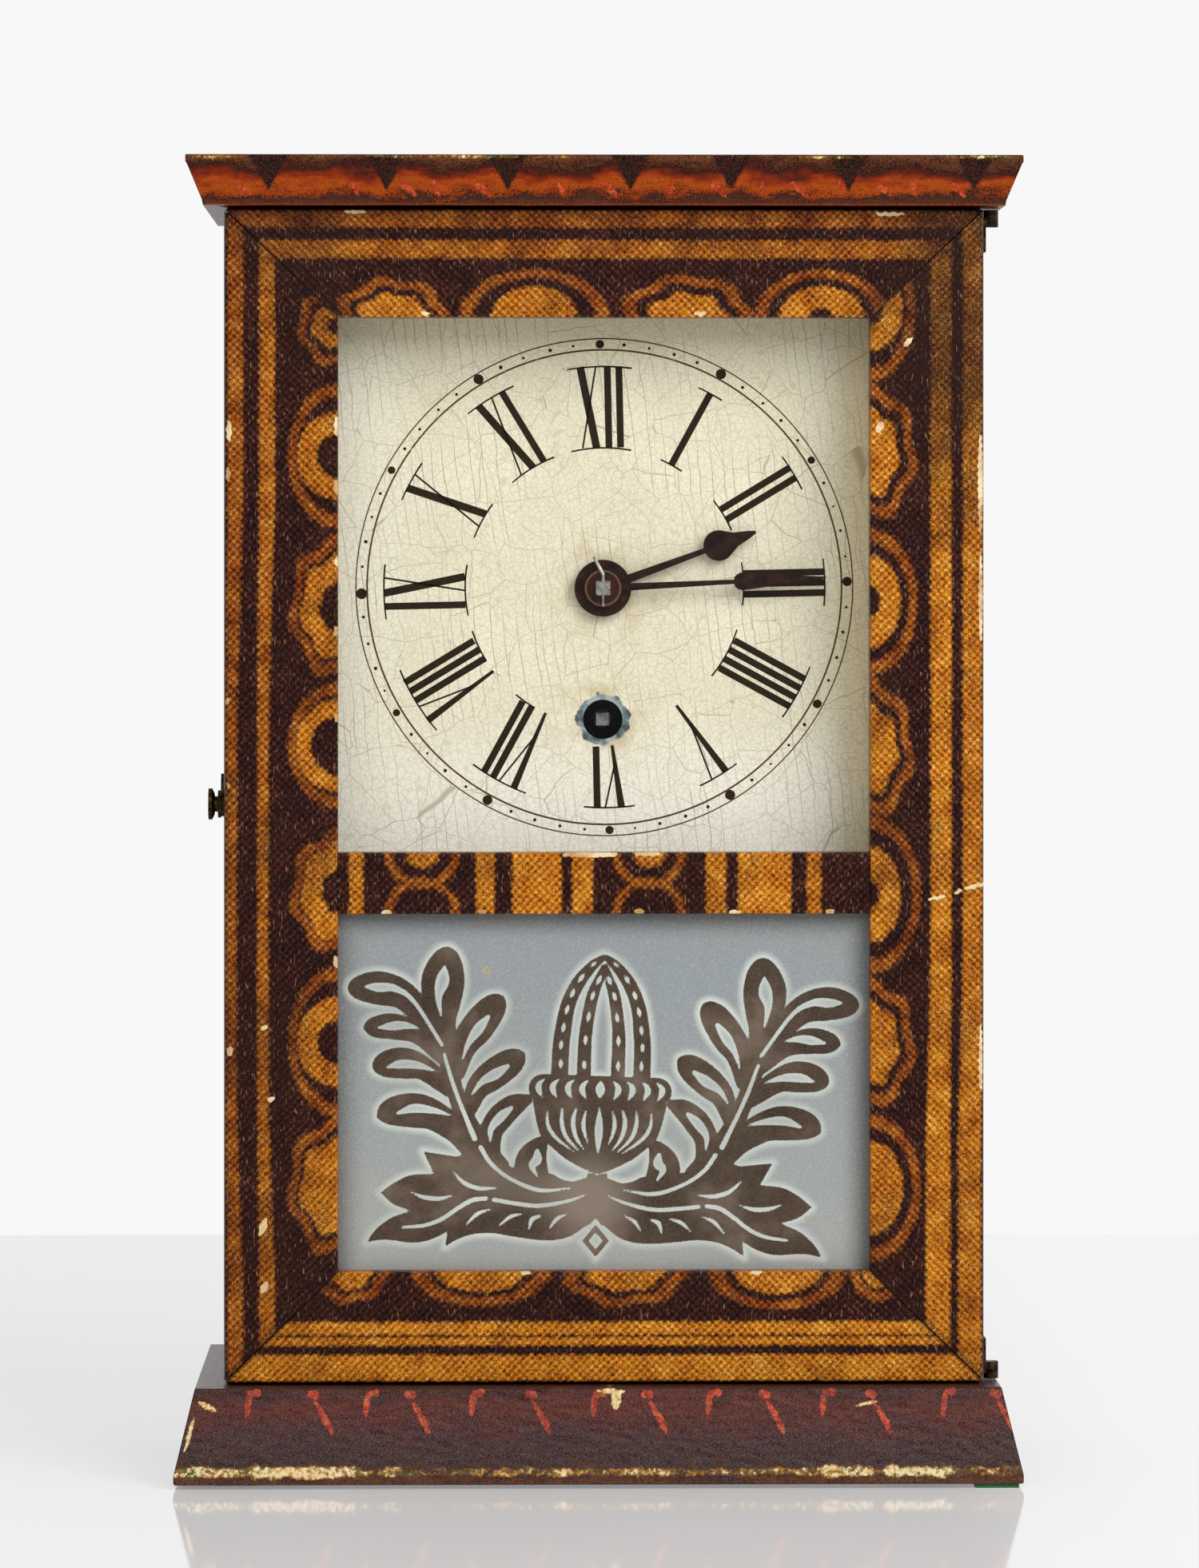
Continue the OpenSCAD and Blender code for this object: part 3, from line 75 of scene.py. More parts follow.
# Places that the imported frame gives
STILE = corners("door_right_stile")
TOP_RAIL = corners("door_top_rail")
BOTTOM_RAIL = corners("door_bottom_rail")
MIDDLE_RAIL = corners("door_middle_rail")
PANE = corners("tablet_glass")
DIAL = corners("dial_plate")
ARBOR = corners("centre_arbor")
WINDING = corners("winding_arbor")
SIDE = corners("case_side_right")

OPEN_X, DOOR_X = STILE[0][0], STILE[1][0]
DOOR_Y, DOOR_BACK = STILE[0][1], STILE[1][1]
DOOR_Z0, OPEN_Z0 = BOTTOM_RAIL[0][2], BOTTOM_RAIL[1][2]
OPEN_Z1, DOOR_Z1 = TOP_RAIL[0][2], TOP_RAIL[1][2]
MIDDLE_Z0, MIDDLE_Z1 = MIDDLE_RAIL[0][2], MIDDLE_RAIL[1][2]
GLASS_Y = PANE[0][1]
REBATE = MIDDLE_RAIL[1][0] - OPEN_X
DIAL_FACE = DIAL[0][1]
HANDS_Z = (ARBOR[0][2] + ARBOR[1][2]) / 2
WINDING_Z = (WINDING[0][2] + WINDING[1][2]) / 2

SEAM = 0.3  # open joint at every mitre
FAR = 1000.0  # depth outside everything
FACES_BACK = 0.4  # from this share of its normal along y, a face looks to the back


# Colours and shader nodes ---------------------------------------------------

def colour(code):
    """An sRGB hex colour as linear RGBA. Linear RGBA stays as it is."""
    if not isinstance(code, str):
        return list(code)
    parts = [int(code[i:i + 2], 16) / 255 for i in (1, 3, 5)]
    return [p / 12.92 if p <= 0.04045 else ((p + 0.055) / 1.055) ** 2.4 for p in parts] + [1.0]


def per_mm(size):
    """Texture scale at which one feature measures size millimetres."""
    return 1 / (size * MM)


def node(tree, kind, links=None, stops=None, **settings):
    """Adds a shader node with its settings, and links or fills its inputs, by name or number."""
    made = tree.nodes.new("ShaderNode" + kind)
    for name, value in settings.items():
        setattr(made, name, value)
    if stops:
        ramp = made.color_ramp.elements
        ramp[0].position, ramp[-1].position = stops[0][0], stops[-1][0]
        for place, _ in stops[1:-1]:
            ramp.new(place)
        for element, (_, shade) in zip(ramp, stops):
            element.color = colour(shade)
    for name, value in (links or {}).items():
        by_name = [s for s in made.inputs if s.enabled and s.name == name]
        socket = by_name[0] if by_name else made.inputs[name]
        if isinstance(value, bpy.types.Node):
            value = next(s for s in value.outputs if s.enabled)
        if isinstance(value, bpy.types.NodeSocket):
            tree.links.new(value, socket)
        else:
            socket.default_value = colour(value) if isinstance(value, str) else value
    return made


def own_place(tree):
    """Where a point lies in its piece's own frame."""
    return node(tree, "TexCoord").outputs["Object"]


def stored(tree, name):
    """A number that set_attribute stored on the vertices."""
    return node(tree, "Attribute", attribute_name=name).outputs["Fac"]


def noise(tree, spot, size, detail, roughness=0.5):
    """Cloudy noise from 0 to 1, its largest features size millimetres across."""
    return node(tree, "TexNoise", {
        "Vector": spot, "Scale": per_mm(size), "Detail": detail, "Roughness": roughness})


def maths(tree, operation, *values):
    """One step of arithmetic on numbers or sockets."""
    return node(tree, "Math", dict(enumerate(values)), operation=operation)


def times_plus(tree, texture, amount, value):
    """The value, shaken by an amount of a texture."""
    return maths(tree, "MULTIPLY_ADD", texture, amount, value)


def distance(tree, spot, point):
    """How far each place is from a point, in metres."""
    return node(tree, "VectorMath", {0: spot, 1: point}, operation="DISTANCE").outputs["Value"]


def remap(tree, value, low, high, to_low=0.0, to_high=1.0, smooth=False):
    """Turns low..high of a value into to_low..to_high and stops at both ends."""
    return node(tree, "MapRange", {
        "Value": value, "From Min": low, "From Max": high, "To Min": to_low, "To Max": to_high},
        interpolation_type="SMOOTHSTEP" if smooth else "LINEAR")


def tones(tree, value, stops):
    """Colours by value, from (place, colour) stops."""
    return node(tree, "ValToRGB", {"Fac": value}, stops=stops)


def blend(tree, share, below, above):
    """The colour above laid over the colour below by a share."""
    return node(tree, "Mix", {"Factor": share, "A": below, "B": above}, data_type="RGBA")


def bumps(tree, height, strength, depth):
    """Relief in the shading, depth millimetres deep where height goes from 0 to 1."""
    return node(tree, "Bump", {"Strength": strength, "Distance": depth * MM, "Height": height})


def principled(tree, surface, roughness, relief, gloss=0.5, metallic=0.0):
    """A finish of one colour, roughness, relief and strength of gloss."""
    return node(tree, "BsdfPrincipled", {
        "Base Color": surface, "Roughness": roughness, "Normal": relief, "Specular IOR Level": gloss,
        "Metallic": metallic})


def material(name, build, *choices):
    """A node material whose surface is what build returns."""
    made = bpy.data.materials.new(name)
    made.use_nodes = True
    tree = made.node_tree
    tree.nodes.clear()
    shader = build(tree, *choices)
    node(tree, "OutputMaterial", {"Surface": shader})
    return made


# Lines, outlines and distances ----------------------------------------------

def flowing(points, sharp=(), closed=False, pieces=5):
    """Points on a smooth line through the given ones, with a corner at each index in sharp."""
    points = np.array(points, float)
    count = len(points)
    spans = count if closed else count - 1
    ends = set(sharp) | (set() if closed else {0, count - 1})
    line = []
    for i in range(spans):
        a, b = points[i], points[(i + 1) % count]
        leave = b - a if i in ends else (b - points[i - 1]) / 2
        arrive = b - a if (i + 1) % count in ends else (points[(i + 2) % count] - a) / 2
        for t in np.arange(pieces) / pieces:
            line.append(
                (2 * t**3 - 3 * t**2 + 1) * a + (t**3 - 2 * t**2 + t) * leave
                + (3 * t**2 - 2 * t**3) * b + (t**3 - t**2) * arrive
            )
    if not closed:
        line.append(points[-1])
    return np.array(line)


def into_stroke(x, z, spine):
    """Depth inside a brush stroke, negative outside. The spine gives x, z and width at points."""
    line = flowing(spine)
    line[:, 2] = np.maximum(line[:, 2], 0.05)
    depth = np.full(x.shape, -FAR)
    for (x0, z0, w0), (x1, z1, w1) in zip(line, line[1:]):
        dx, dz = x1 - x0, z1 - z0
        t = np.clip(((x - x0) * dx + (z - z0) * dz) / (dx * dx + dz * dz + 1e-9), 0, 1)
        width = w0 + (w1 - w0) * t
        depth = np.maximum(depth, width / 2 - np.hypot(x - x0 - t * dx, z - z0 - t * dz))
    return depth


def into_outline(x, z, outline):
    """Depth inside a closed outline, negative outside."""
    nearest = np.full(x.shape, FAR)
    inside = np.zeros(x.shape, bool)
    for (x0, z0), (x1, z1) in zip(outline, np.roll(outline, -1, axis=0)):
        dx, dz = x1 - x0, z1 - z0
        t = np.clip(((x - x0) * dx + (z - z0) * dz) / (dx * dx + dz * dz + 1e-9), 0, 1)
        nearest = np.minimum(nearest, np.hypot(x - x0 - t * dx, z - z0 - t * dz))
        crosses = (z0 > z) != (z1 > z)
        inside ^= crosses & (x < x0 + (z - z0) / (dz if dz else 1e-9) * dx)
    return np.where(inside, nearest, -nearest)


def into_band(value, low, high):
    """Depth inside the band between low and high, negative outside."""
    return np.minimum(value - low, high - value)


def fading(value, start, reach):
    """1 up to start, falling to 0 over reach."""
    return np.clip(1 - (value - start) / reach, 0, 1)


def rising(value, start, reach):
    """0 up to start, rising to 1 over reach."""
    return np.clip((value - start) / reach, 0, 1)


def unevenness(x, z, size, seed):
    """Smooth random waves between about -1 and 1, size millimetres long."""
    random = np.random.default_rng(seed)
    waves = np.zeros(x.shape)
    for turn, phase, stretch in random.random((6, 3)):
        k = 2 * math.pi / (size * (0.6 + 0.8 * stretch))
        angle = math.pi * turn
        waves += np.sin(k * (x * math.cos(angle) + z * math.sin(angle)) + 2 * math.pi * phase)
    return waves / 3


# Meshes ---------------------------------------------------------------------

def only(piece):
    """Makes piece the one selected and active object."""
    bpy.ops.object.select_all(action="DESELECT")
    piece.select_set(True)
    bpy.context.view_layer.objects.active = piece


@contextmanager
def editing(piece):
    """Edit mode on piece, with all of it selected."""
    only(piece)
    bpy.ops.object.mode_set(mode="EDIT")
    bpy.ops.mesh.select_all(action="SELECT")
    yield
    bpy.ops.object.mode_set(mode="OBJECT")


def places(mesh):
    """The vertices' places in millimetres, one row each."""
    flat = np.empty(len(mesh.vertices) * 3)
    mesh.vertices.foreach_get("co", flat)
    return flat.reshape(-1, 3) / MM


def set_places(mesh, points):
    """Puts the vertices at points, in millimetres."""
    mesh.vertices.foreach_set("co", (np.asarray(points) * MM).ravel())
    mesh.update()


def set_attribute(mesh, name, values):
    """Stores one number a vertex under name."""
    stored = mesh.attributes.new(name, "FLOAT", "POINT")
    stored.data.foreach_set("value", np.asarray(values, np.float32))


def grid(name, columns, rows):
    """A grid of faces, with the column and row number of each vertex."""
    bpy.ops.object.select_all(action="DESELECT")
    bpy.ops.mesh.primitive_grid_add(x_subdivisions=columns, y_subdivisions=rows, size=1)
    piece = bpy.context.object
    piece.name = piece.data.name = name
    at = places(piece.data) * MM
    column = np.rint((at[:, 0] + 0.5) * columns).astype(int)
    row = np.rint((at[:, 1] + 0.5) * rows).astype(int)
    if len(at) != (columns + 1) * (rows + 1):
        raise RuntimeError("the grid has another number of vertices than columns and rows give")
    return piece, column, row


def dress(piece, *looks):
    """Gives a piece these materials and no others."""
    piece.data.materials.clear()
    for look in looks:
        piece.data.materials.append(look)


def finish_piece(piece, body, looks, replaced=(), angle=40):
    """Smooths a piece, gives it its materials and ties it to the frame."""
    only(piece)
    bpy.ops.object.shade_smooth_by_angle(angle=math.radians(angle))
    dress(piece, *looks)
    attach(piece, body)
    if replaced:
        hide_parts(*replaced)
    return piece


def second_look(piece, chosen):
    """Gives the faces whose centres and normals chosen picks the piece's second material."""
    mesh = piece.data
    middle = np.empty(len(mesh.polygons) * 3)
    facing = np.empty(len(mesh.polygons) * 3)
    mesh.polygons.foreach_get("center", middle)
    mesh.polygons.foreach_get("normal", facing)
    picked = chosen(middle.reshape(-1, 3) / MM, facing.reshape(-1, 3))
    mesh.polygons.foreach_set("material_index", picked.astype(np.int32))
    mesh.update()


def section_loop(stretches):
    """A closed section from (across, depth, spacing) corners, each spacing up to the next corner."""
    loop = []
    for (a0, d0, spacing), (a1, d1, _) in zip(stretches, stretches[1:] + stretches[:1]):
        pieces = max(1, math.ceil(math.hypot(a1 - a0, d1 - d0) / spacing))
        loop += [(a0 + (a1 - a0) * i / pieces, d0 + (d1 - d0) * i / pieces) for i in range(pieces)]
    return np.array(loop)


def quarter_turn(across, depth, radius, start, spacing, pieces=5):
    """Corners of a quarter circle round (across, depth), from start degrees onwards."""
    turns = np.radians(start + 90 * np.arange(pieces + 1) / pieces)
    return [(across + radius * math.cos(t), depth + radius * math.sin(t), spacing) for t in turns]


def moulding(name, stretches, step, start, stop, place, relief=None):
    """A closed section carried from start to stop, which may depend on across, and capped.

    place turns across, depth and along into x, y and z, and relief lifts the front."""
    loop = section_loop(stretches)
    middle = (start(loop[:, 0]).mean() + stop(loop[:, 0]).mean()) / 2
    length = 2 * abs(stop(loop[:, 0]).max() - middle)
    piece, column, row = grid(name, len(loop), max(2, math.ceil(length / step)))
    across, depth = loop[column % len(loop)].T
    share = row / row.max()
    along = start(across) * (1 - share) + stop(across) * share
    if relief:
        depth = depth - relief(across, depth, along)
    set_places(piece.data, np.stack(place(across, depth, along), axis=1))
    with editing(piece):
        bpy.ops.mesh.remove_doubles(threshold=0.001 * MM)
        bpy.ops.mesh.fill_holes(sides=0)
        bpy.ops.mesh.normals_make_consistent(inside=False)
    return piece


# Printed paper on the door ---------------------------------------------------

# Amber stripes of each member, by distance in from the door's outer edge
STRIPES = {
    "left": [(0.9, 4.4), (8.2, 11.7)],
    "right": [(0.4, 4.8), (7.6, 12.2)],
    "top": [(0.4, 4.1), (7.2, 11.2)],
    "bottom": [(0.4, 6.2), (8.5, 10.3), (10.9, 13.8)],
}
# How bright the amber of each shape is, from 0 for deep to about 1 for bright
STRIPE_GLOW = {"left": 0.50, "right": 0.78, "top": 0.46, "bottom": 1.2}
RING_GLOW, OVAL_GLOW = 0.3, 0.74
BAR_GLOW, WIDE_BAR_GLOW, CROSSED_GLOW, HEART_GLOW = 0.75, 1.0, 0.35, 0.7
# Half medallions on the opening: place along the member, half length and reach of the outer line,
# half length and reach of the inner oval, share of it that is dark core, and scalloping
MEDALLIONS = {
    "left": [
        (266, 9, 9, 5, 6, 0.4, 0.07), (236.2, 16.4, 11.4, 10, 9.4, 0.52, 0),
        (201.3, 15.8, 10.8, 11.7, 8.3, 0.5, 0.07), (169.6, 14.2, 11.4, 10.6, 9.7, 0.64, 0),
        (136, 13.8, 10.6, 11.4, 8.3, 0.45, 0.07), (101.5, 17.1, 11.4, 10.2, 9.4, 0.5, 0),
        (68.2, 15.6, 11.2, 11, 8.6, 0, 0.07),
    ],
    "right": [
        (270, 16.5, 10.4, 9.5, 7.5, 0.4, 0), (236.9, 15.3, 10.5, 9.8, 6.4, 0, 0.07),
        (202.7, 16.7, 10.8, 10.4, 6.9, 0.35, 0), (168.7, 15.6, 9.7, 10, 6.2, 0, 0.07),
        (135.3, 18.1, 11.6, 11, 7, 0.3, 0), (101, 14.5, 10.1, 9.4, 6.4, 0, 0.07),
        (67.8, 16.7, 11.6, 10.5, 7.5, 0, 0),
    ],
    "top": [
        (-48.8, 12.7, 8.8, 8, 5.2, 0, 0.07), (-16.1, 17.1, 11, 9.7, 7, 0, 0),
        (19, 14.7, 9.6, 9, 5.4, 0, 0.07), (50, 15.2, 11, 9.7, 7, 0.3, 0),
    ],
    "bottom": [
        (-58.6, 8.9, 7.2, 5, 4, 0, 0.07), (-28.4, 15.8, 7.9, 10, 4.6, 0, 0),
        (4.6, 14.2, 7.9, 9, 4.4, 0, 0.07), (39.9, 15.5, 8.8, 9.9, 5.2, 0, 0), (63, 6.2, 7, 3.5, 4, 0, 0),
    ],
}
MEDALLION_LINE = 1.9  # width of a medallion's outer line
# Amber bars of the middle rail, which is covered crosswise, and middle and half width of its ovals
MIDDLE_BARS = [
    (-58.6, -55.4), (-29.4, -25.3), (-21.1, -9.9), (-7.3, -2.7), (23.4, 28), (30.9, 43), (46.7, 49.9),
]
MIDDLE_OVALS = [(-41.8, 8.6), (10.3, 8.4)]
PLAIN_BEAD = 0.45  # bead height where the paper lies flat
# Cream places on the paper: x, z, length, width and lean in degrees. On the face the paper is rubbed
# through there; those along the door's outer edges and the edges of its openings are painted highlights as
# well as rubbed paper
PAPER_WEAR_AND_HIGHLIGHTS = [
    (-86.2, 242, 4, 1.0, 90), (-86.4, 232, 3, 0.9, 90), (-86.0, 99.4, 1.6, 1.2, 80),
    (-78.1, 104.8, 1.2, 1.2, 0), (-76.6, 88.4, 1.4, 1.2, 20), (-78.4, 59.0, 3.6, 1.6, 70),
    (-78.1, 45.2, 2.2, 1.4, 60), (-86.6, 180, 1.0, 0.8, 90), (-86.4, 160.5, 1.0, 0.8, 90),
    (-61.6, 243, 3.5, 0.8, 90), (-61.7, 229, 2.4, 1.0, 90), (-61.6, 212, 1.4, 0.8, 90),
    (-61.7, 196, 1.4, 0.8, 90), (-61.6, 176, 1.2, 0.6, 90), (-61.8, 120, 2, 0.8, 90),
    (85.3, 137.2, 4.6, 0.9, 14), (81.5, 136.0, 1.8, 0.8, 40), (76.8, 134.6, 4.2, 0.9, 12),
    (86.6, 230, 22, 0.9, 90), (86.7, 204, 20, 0.7, 90),
    (86.7, 98, 14, 0.7, 90), (63.5, 243, 2.2, 1.6, 70),
    (70, 262.5, 2, 1.2, 45), (-57, 292.2, 5, 0.5, 0), (66, 291.8, 6, 0.7, 0),
    (45, 55, 1, 1, 0), (-3.2, 144.4, 12, 0.8, 0), (10, 144.6, 5, 0.6, 0), (-50, 131.4, 1.6, 0.8, 0),
    (-28, 131.5, 1.4, 0.8, 0), (8, 131.6, 1.6, 0.9, 0), (30, 131.4, 2.2, 0.7, 0), (52, 131.5, 1.6, 0.8, 0),
    (-41, 269, 1.4, 0.6, 0), (22, 269, 2.2, 0.7, 0), (-18, 48.3, 1.6, 0.6, 0), (35, 48.2, 2, 0.6, 0),
]


def rubbed(x, z, chips):
    """Depth inside the nearest of the listed places."""
    depth = np.full(x.shape, -FAR)
    for cx, cz, length, width, lean in chips:
        dx, dz = length / 2 * math.cos(math.radians(lean)), length / 2 * math.sin(math.radians(lean))
        spine = [(cx - dx, cz - dz, width * 0.5), (cx, cz, width), (cx + dx, cz + dz, width * 0.4)]
        depth = np.maximum(depth, into_stroke(x, z, spine))
    return depth


def medallion(along, out, place, half, reach, inner_half, inner_reach, core, wave):
    """Depth inside the amber ring and the amber oval of a half medallion on the opening."""
    away = along - place
    swell = 1 + wave * np.cos(7 * np.arctan2(out / reach, away / half))
    edge = (1 - np.hypot(away / half, out / reach) / swell) * min(half, reach)
    oval = 1 - np.hypot(away / inner_half, out / inner_reach) / swell
    inner = oval * inner_reach
    if core:
        inner = np.minimum(inner, (1 - core - oval) * inner_reach)
    return into_band(edge, 0, MEDALLION_LINE), inner


def brighter(amber, glow, depth, light):
    """The amber depth and its glow after a shape of the given depth and light is added."""
    return np.maximum(amber, depth), np.where(depth > amber, light, glow)


def member_amber(member, x, z):
    """Depth inside the amber print of one member of the door, and how bright that amber is."""
    amber, glow = np.full(x.shape, -FAR), np.zeros(x.shape)
    if member == "middle":
        for low, high in MIDDLE_BARS:
            light = WIDE_BAR_GLOW if high - low > 10 else BAR_GLOW
            amber, glow = brighter(amber, glow, into_band(x, low, high), light)
        middle = (MIDDLE_Z0 + MIDDLE_Z1) / 2
        for place, half in MIDDLE_OVALS:
            for edge in (MIDDLE_Z0, MIDDLE_Z1):
                rise = np.abs(z - edge)
                oval = (1 - np.hypot((x - place) / half, rise / (MIDDLE_Z1 - middle + 1.2))) * half * 0.8
                amber, glow = brighter(amber, glow, into_band(oval, 0, 1.3), CROSSED_GLOW)
            heart = (1 - np.hypot((x - place) / 3.6, (z - MIDDLE_Z1) / 3.4)) * 3
            amber, glow = brighter(amber, glow, heart, HEART_GLOW)
        return amber, glow
    out, inwards, along = {
        "left": (-x - OPEN_X, DOOR_X + x, z),
        "right": (x - OPEN_X, DOOR_X - x, z),
        "top": (z - OPEN_Z1, DOOR_Z1 - z, x),
        "bottom": (OPEN_Z0 - z, z - DOOR_Z0, x),
    }[member]
    # the left stile's stripes are narrower halfway down, and the right stile's wider at the foot
    waist = rising(-z, -225, 50) * rising(z, 45, 40) if member == "left" else 0
    foot = rising(-z, -120, 40) if member == "right" else 0
    for low, high in STRIPES[member]:
        stripe = into_band(inwards, low - 0.4 * waist + 0.3 * foot, high - 1.5 * waist + 1.1 * foot)
        amber, glow = brighter(amber, glow, stripe, STRIPE_GLOW[member] - 0.15 * (low < 2))
    for shape in MEDALLIONS[member]:
        ring, oval = medallion(along, out, *shape)
        amber, glow = brighter(amber, glow, ring, RING_GLOW)
        amber, glow = brighter(amber, glow, oval, OVAL_GLOW)
    return amber, glow


def beads(x, z, pitch):
    """Height, from 0 to 1, of the staggered beads pressed into the paper."""
    k = 2 * math.pi / pitch
    drift = 0.25 * unevenness(x, z, 14, 5)
    return 0.5 + 0.5 * np.cos(k * x + drift) * np.cos(k * z - drift)


def paper_wear_and_highlights(member, x, z, front):
    """How far the paper of a member is worn to cream: along its edges, at the opening and in chips. Along
    the edges this is painted highlight as well as wear.
    """
    edge = np.minimum(DOOR_X - np.abs(x), np.minimum(DOOR_Z1 - z, z - DOOR_Z0))
    opening = np.hypot(
        np.maximum(np.abs(x) - OPEN_X, 0), np.maximum(OPEN_Z0 - z, 0) + np.maximum(z - OPEN_Z1, 0))
    if member == "middle":
        opening = np.minimum(z - MIDDLE_Z0, MIDDLE_Z1 - z)
    # cream along the outer edges and the openings: wear, and painted highlights on the rounded edges
    near = 0.24 * np.exp(-np.maximum(edge, 0) / 0.6) + 0.40 * np.exp(-np.maximum(opening, 0) / 0.5)
    chip_and_highlight = np.clip(rubbed(x, z, PAPER_WEAR_AND_HIGHLIGHTS) / 0.9 + 0.6, 0, 0.9) * front
    return np.clip(near + chip_and_highlight + 0.07 * unevenness(x, z, 23, 8), 0, 1)


def paper_dirt_and_shade(member, x, z):
    """How dull a member is made: by old varnish and dirt in patches and at its mitres, by painted shade low
    on the left stile, and darker towards its top corners.
    """
    mitre = np.full(x.shape, -FAR)
    if member != "middle":
        for side in (-1, 1):
            for inner, outer in ((OPEN_Z1, DOOR_Z1), (OPEN_Z0, DOOR_Z0)):
                spine = [(side * OPEN_X, inner, 0), (side * DOOR_X, outer, 0)]
                mitre = np.maximum(mitre, into_stroke(x, z, spine))
    # painted shade low on the left stile, which faces away from the light; the top right and top left are
    # made darker
    low_left = rising(-z, -215, 60) * rising(-x, 58, 8)
    top_right = rising(z, 215, 40) * rising(x, 62, 14)
    top_left = rising(z, 253, 8) * rising(-x, 58, 5) * rising(x, -76, 6)
    dull = low_left * 0.2 + 1.15 * top_right + 0.6 * top_left
    dull += 0.25 * unevenness(x, z, 40, 3) + 0.22 * unevenness(x, z, 11, 9)
    joint = np.maximum(1.2 * np.exp(mitre / 0.9), 0.9 * np.exp(mitre / 4) * (z > 250))
    return np.clip(np.maximum(dull, joint), 0, 1.35)


def print_attributes(piece, member, pitch):
    """Stores the print of one door member on its vertices."""
    at = places(piece.data)
    x, z = at[:, 0], at[:, 2]
    amber, glow = member_amber(member, x, z)
    set_attribute(piece.data, "amber", amber)
    set_attribute(piece.data, "glow", glow)
    on_front = fading(at[:, 1], DOOR_Y + 0.6, 0.8)
    set_attribute(piece.data, "bead", PLAIN_BEAD + on_front * (beads(x, z, pitch) - PLAIN_BEAD))
    set_attribute(piece.data, "worn", paper_wear_and_highlights(member, x, z, fading(at[:, 1], DOOR_Y + 1.5, 0.8)))
    set_attribute(piece.data, "dull", paper_dirt_and_shade(member, x, z))


# Painted cornice and plinth ---------------------------------------------------

# Middles of the cornice's dark teeth and of its red commas
CORNICE_TEETH = [-77, -50, -22.2, 5.9, 29, 56, 84.8]
CORNICE_FLECKS = [-82.5, -57, -45, -38.5, -28, -9.8, 1.2, 15.2, 26, 36.5, 44.6, 54.5, 64, 71, 81]
# Plinth marks: short upright strokes, and long slanted ones with a round head
PLINTH_SHORT = [-81.6, -54.5, -30.3, -2.4, 23.9, 50.0, 77.8]
PLINTH_LONG = [-66.8, -44.6, -17.0, 9.7, 36.6, 61.0, 89.5]
# Places where the plinth is rubbed through: x, z, length, width and lean in degrees
PLINTH_CHIPS = [
    (2.6, 20.0, 3.4, 2.6, 85), (1.5, 21.8, 6.0, 1.4, 0), (-91.0, 18.6, 4.6, 1.6, -25),
    (-95.0, 12.5, 8, 1.2, 75), (94.8, 11.5, 9, 0.9, -78), (60, 19.0, 5, 0.8, 10),
]
# Where the plinth's foot is worn down to cream, as from, to and strength
PLINTH_WEAR = [
    (-98, -82, 0.10), (-81, -56, 0.16), (-50, -46, 0.10), (-12, -8, 0.08), (49, 61, 0.14), (64, 80, 0.14),
    (84, 93, 0.06),
]
SIDE_PITCH = 27.0  # spacing of the marks that go round the sides
SIDE_RUN = 300  # what places round a side are counted from, so that they can't be taken for the front's


def cornice_brushwork(run, z, on_side, low, high, waves, _):
    """Depth inside the commas and the teeth, wear and level at each place of a cornice piece."""
    fleck = np.full(z.shape, -FAR)
    tooth = np.full(z.shape, -FAR)
    for place in np.arange(-2, 3) * SIDE_PITCH if on_side else CORNICE_TEETH:
        tooth = np.maximum(tooth, (3.3 * (z - low - 2.9) / 6 - np.abs(run - place)) * 0.85)
    for i, place in enumerate(np.arange(-4, 5) * SIDE_PITCH / 2 if on_side else CORNICE_FLECKS):
        lean = 0.5 if i % 2 else 1.7
        spine = [(place - lean, low + 5.1, 0.9), (place, low + 3.7, 1.35), (place + lean, low + 2.1, 0.6)]
        fleck = np.maximum(fleck, into_stroke(run, z, spine))
    worn = 0.32 * np.exp(-((high - 0.5 - z) / 0.6) ** 2) + 0.12 * np.exp(-((z - low - 0.4) / 0.5) ** 2)
    worn += 0.16 * waves * (z > high - 1.6)
    level = (z - low) / (high - low)
    # the top and the underside are plain, in the colour of the upper edge
    flat = (z > high - 0.05) | (z < low + 0.05)
    tooth[flat] = fleck[flat] = -FAR
    worn[flat] = 0.1
    level[flat] = 0.74
    return fleck, tooth, worn, level


def plinth_brushwork(run, z, on_side, low, high, waves, fine):
    """Depth inside the red marks, no teeth, wear and level at each place of a plinth piece."""
    fleck = np.full(z.shape, -FAR)
    for place in np.arange(-2, 3) * SIDE_PITCH if on_side else PLINTH_SHORT:
        stem = [(place + 0.3, 21.6, 1.1), (place, 19, 1.4), (place - 0.2, 16.6, 0.8)]
        head = [(place + 0.6, 21.5, 1.0), (place + 2.0, 21.6, 1.9)]
        for spine in (stem, head):
            fleck = np.maximum(fleck, into_stroke(run, z, spine))
    for place in np.arange(-2, 3) * SIDE_PITCH + 13 if on_side else PLINTH_LONG:
        head = [(place - 0.5, 21.3, 1.7), (place + 0.5, 21.1, 1.9)]
        stem = [(place + 0.4, 19.8, 0.5), (place + 1.9, 17.4, 1.2), (place + 3.4, 14.8, 1.5),
                (place + 4.3, 12.6, 0.7)]
        for spine in (head, stem):
            fleck = np.maximum(fleck, into_stroke(run, z, spine))
    cream = np.zeros(z.shape)
    for start, stop, strength in PLINTH_WEAR:
        cream = np.maximum(cream, strength * np.clip(into_band(run, start, stop) / 2 + 0.5, 0, 1))
    band = 1.15 + 0.25 * fine + 0.6 * cream / 0.16
    worn = (0.37 + 0.05 * waves + cream) * np.exp(-((z - low - 2.9) / band) ** 4)
    worn += 0.12 * np.exp(-((high - z) / 0.4) ** 2)
    if not on_side:
        worn += np.clip(rubbed(run, z, PLINTH_CHIPS) / 0.8 + 0.35, 0, 0.6)
    return fleck, np.full(z.shape, -FAR), worn, (z - low) / (high - low)


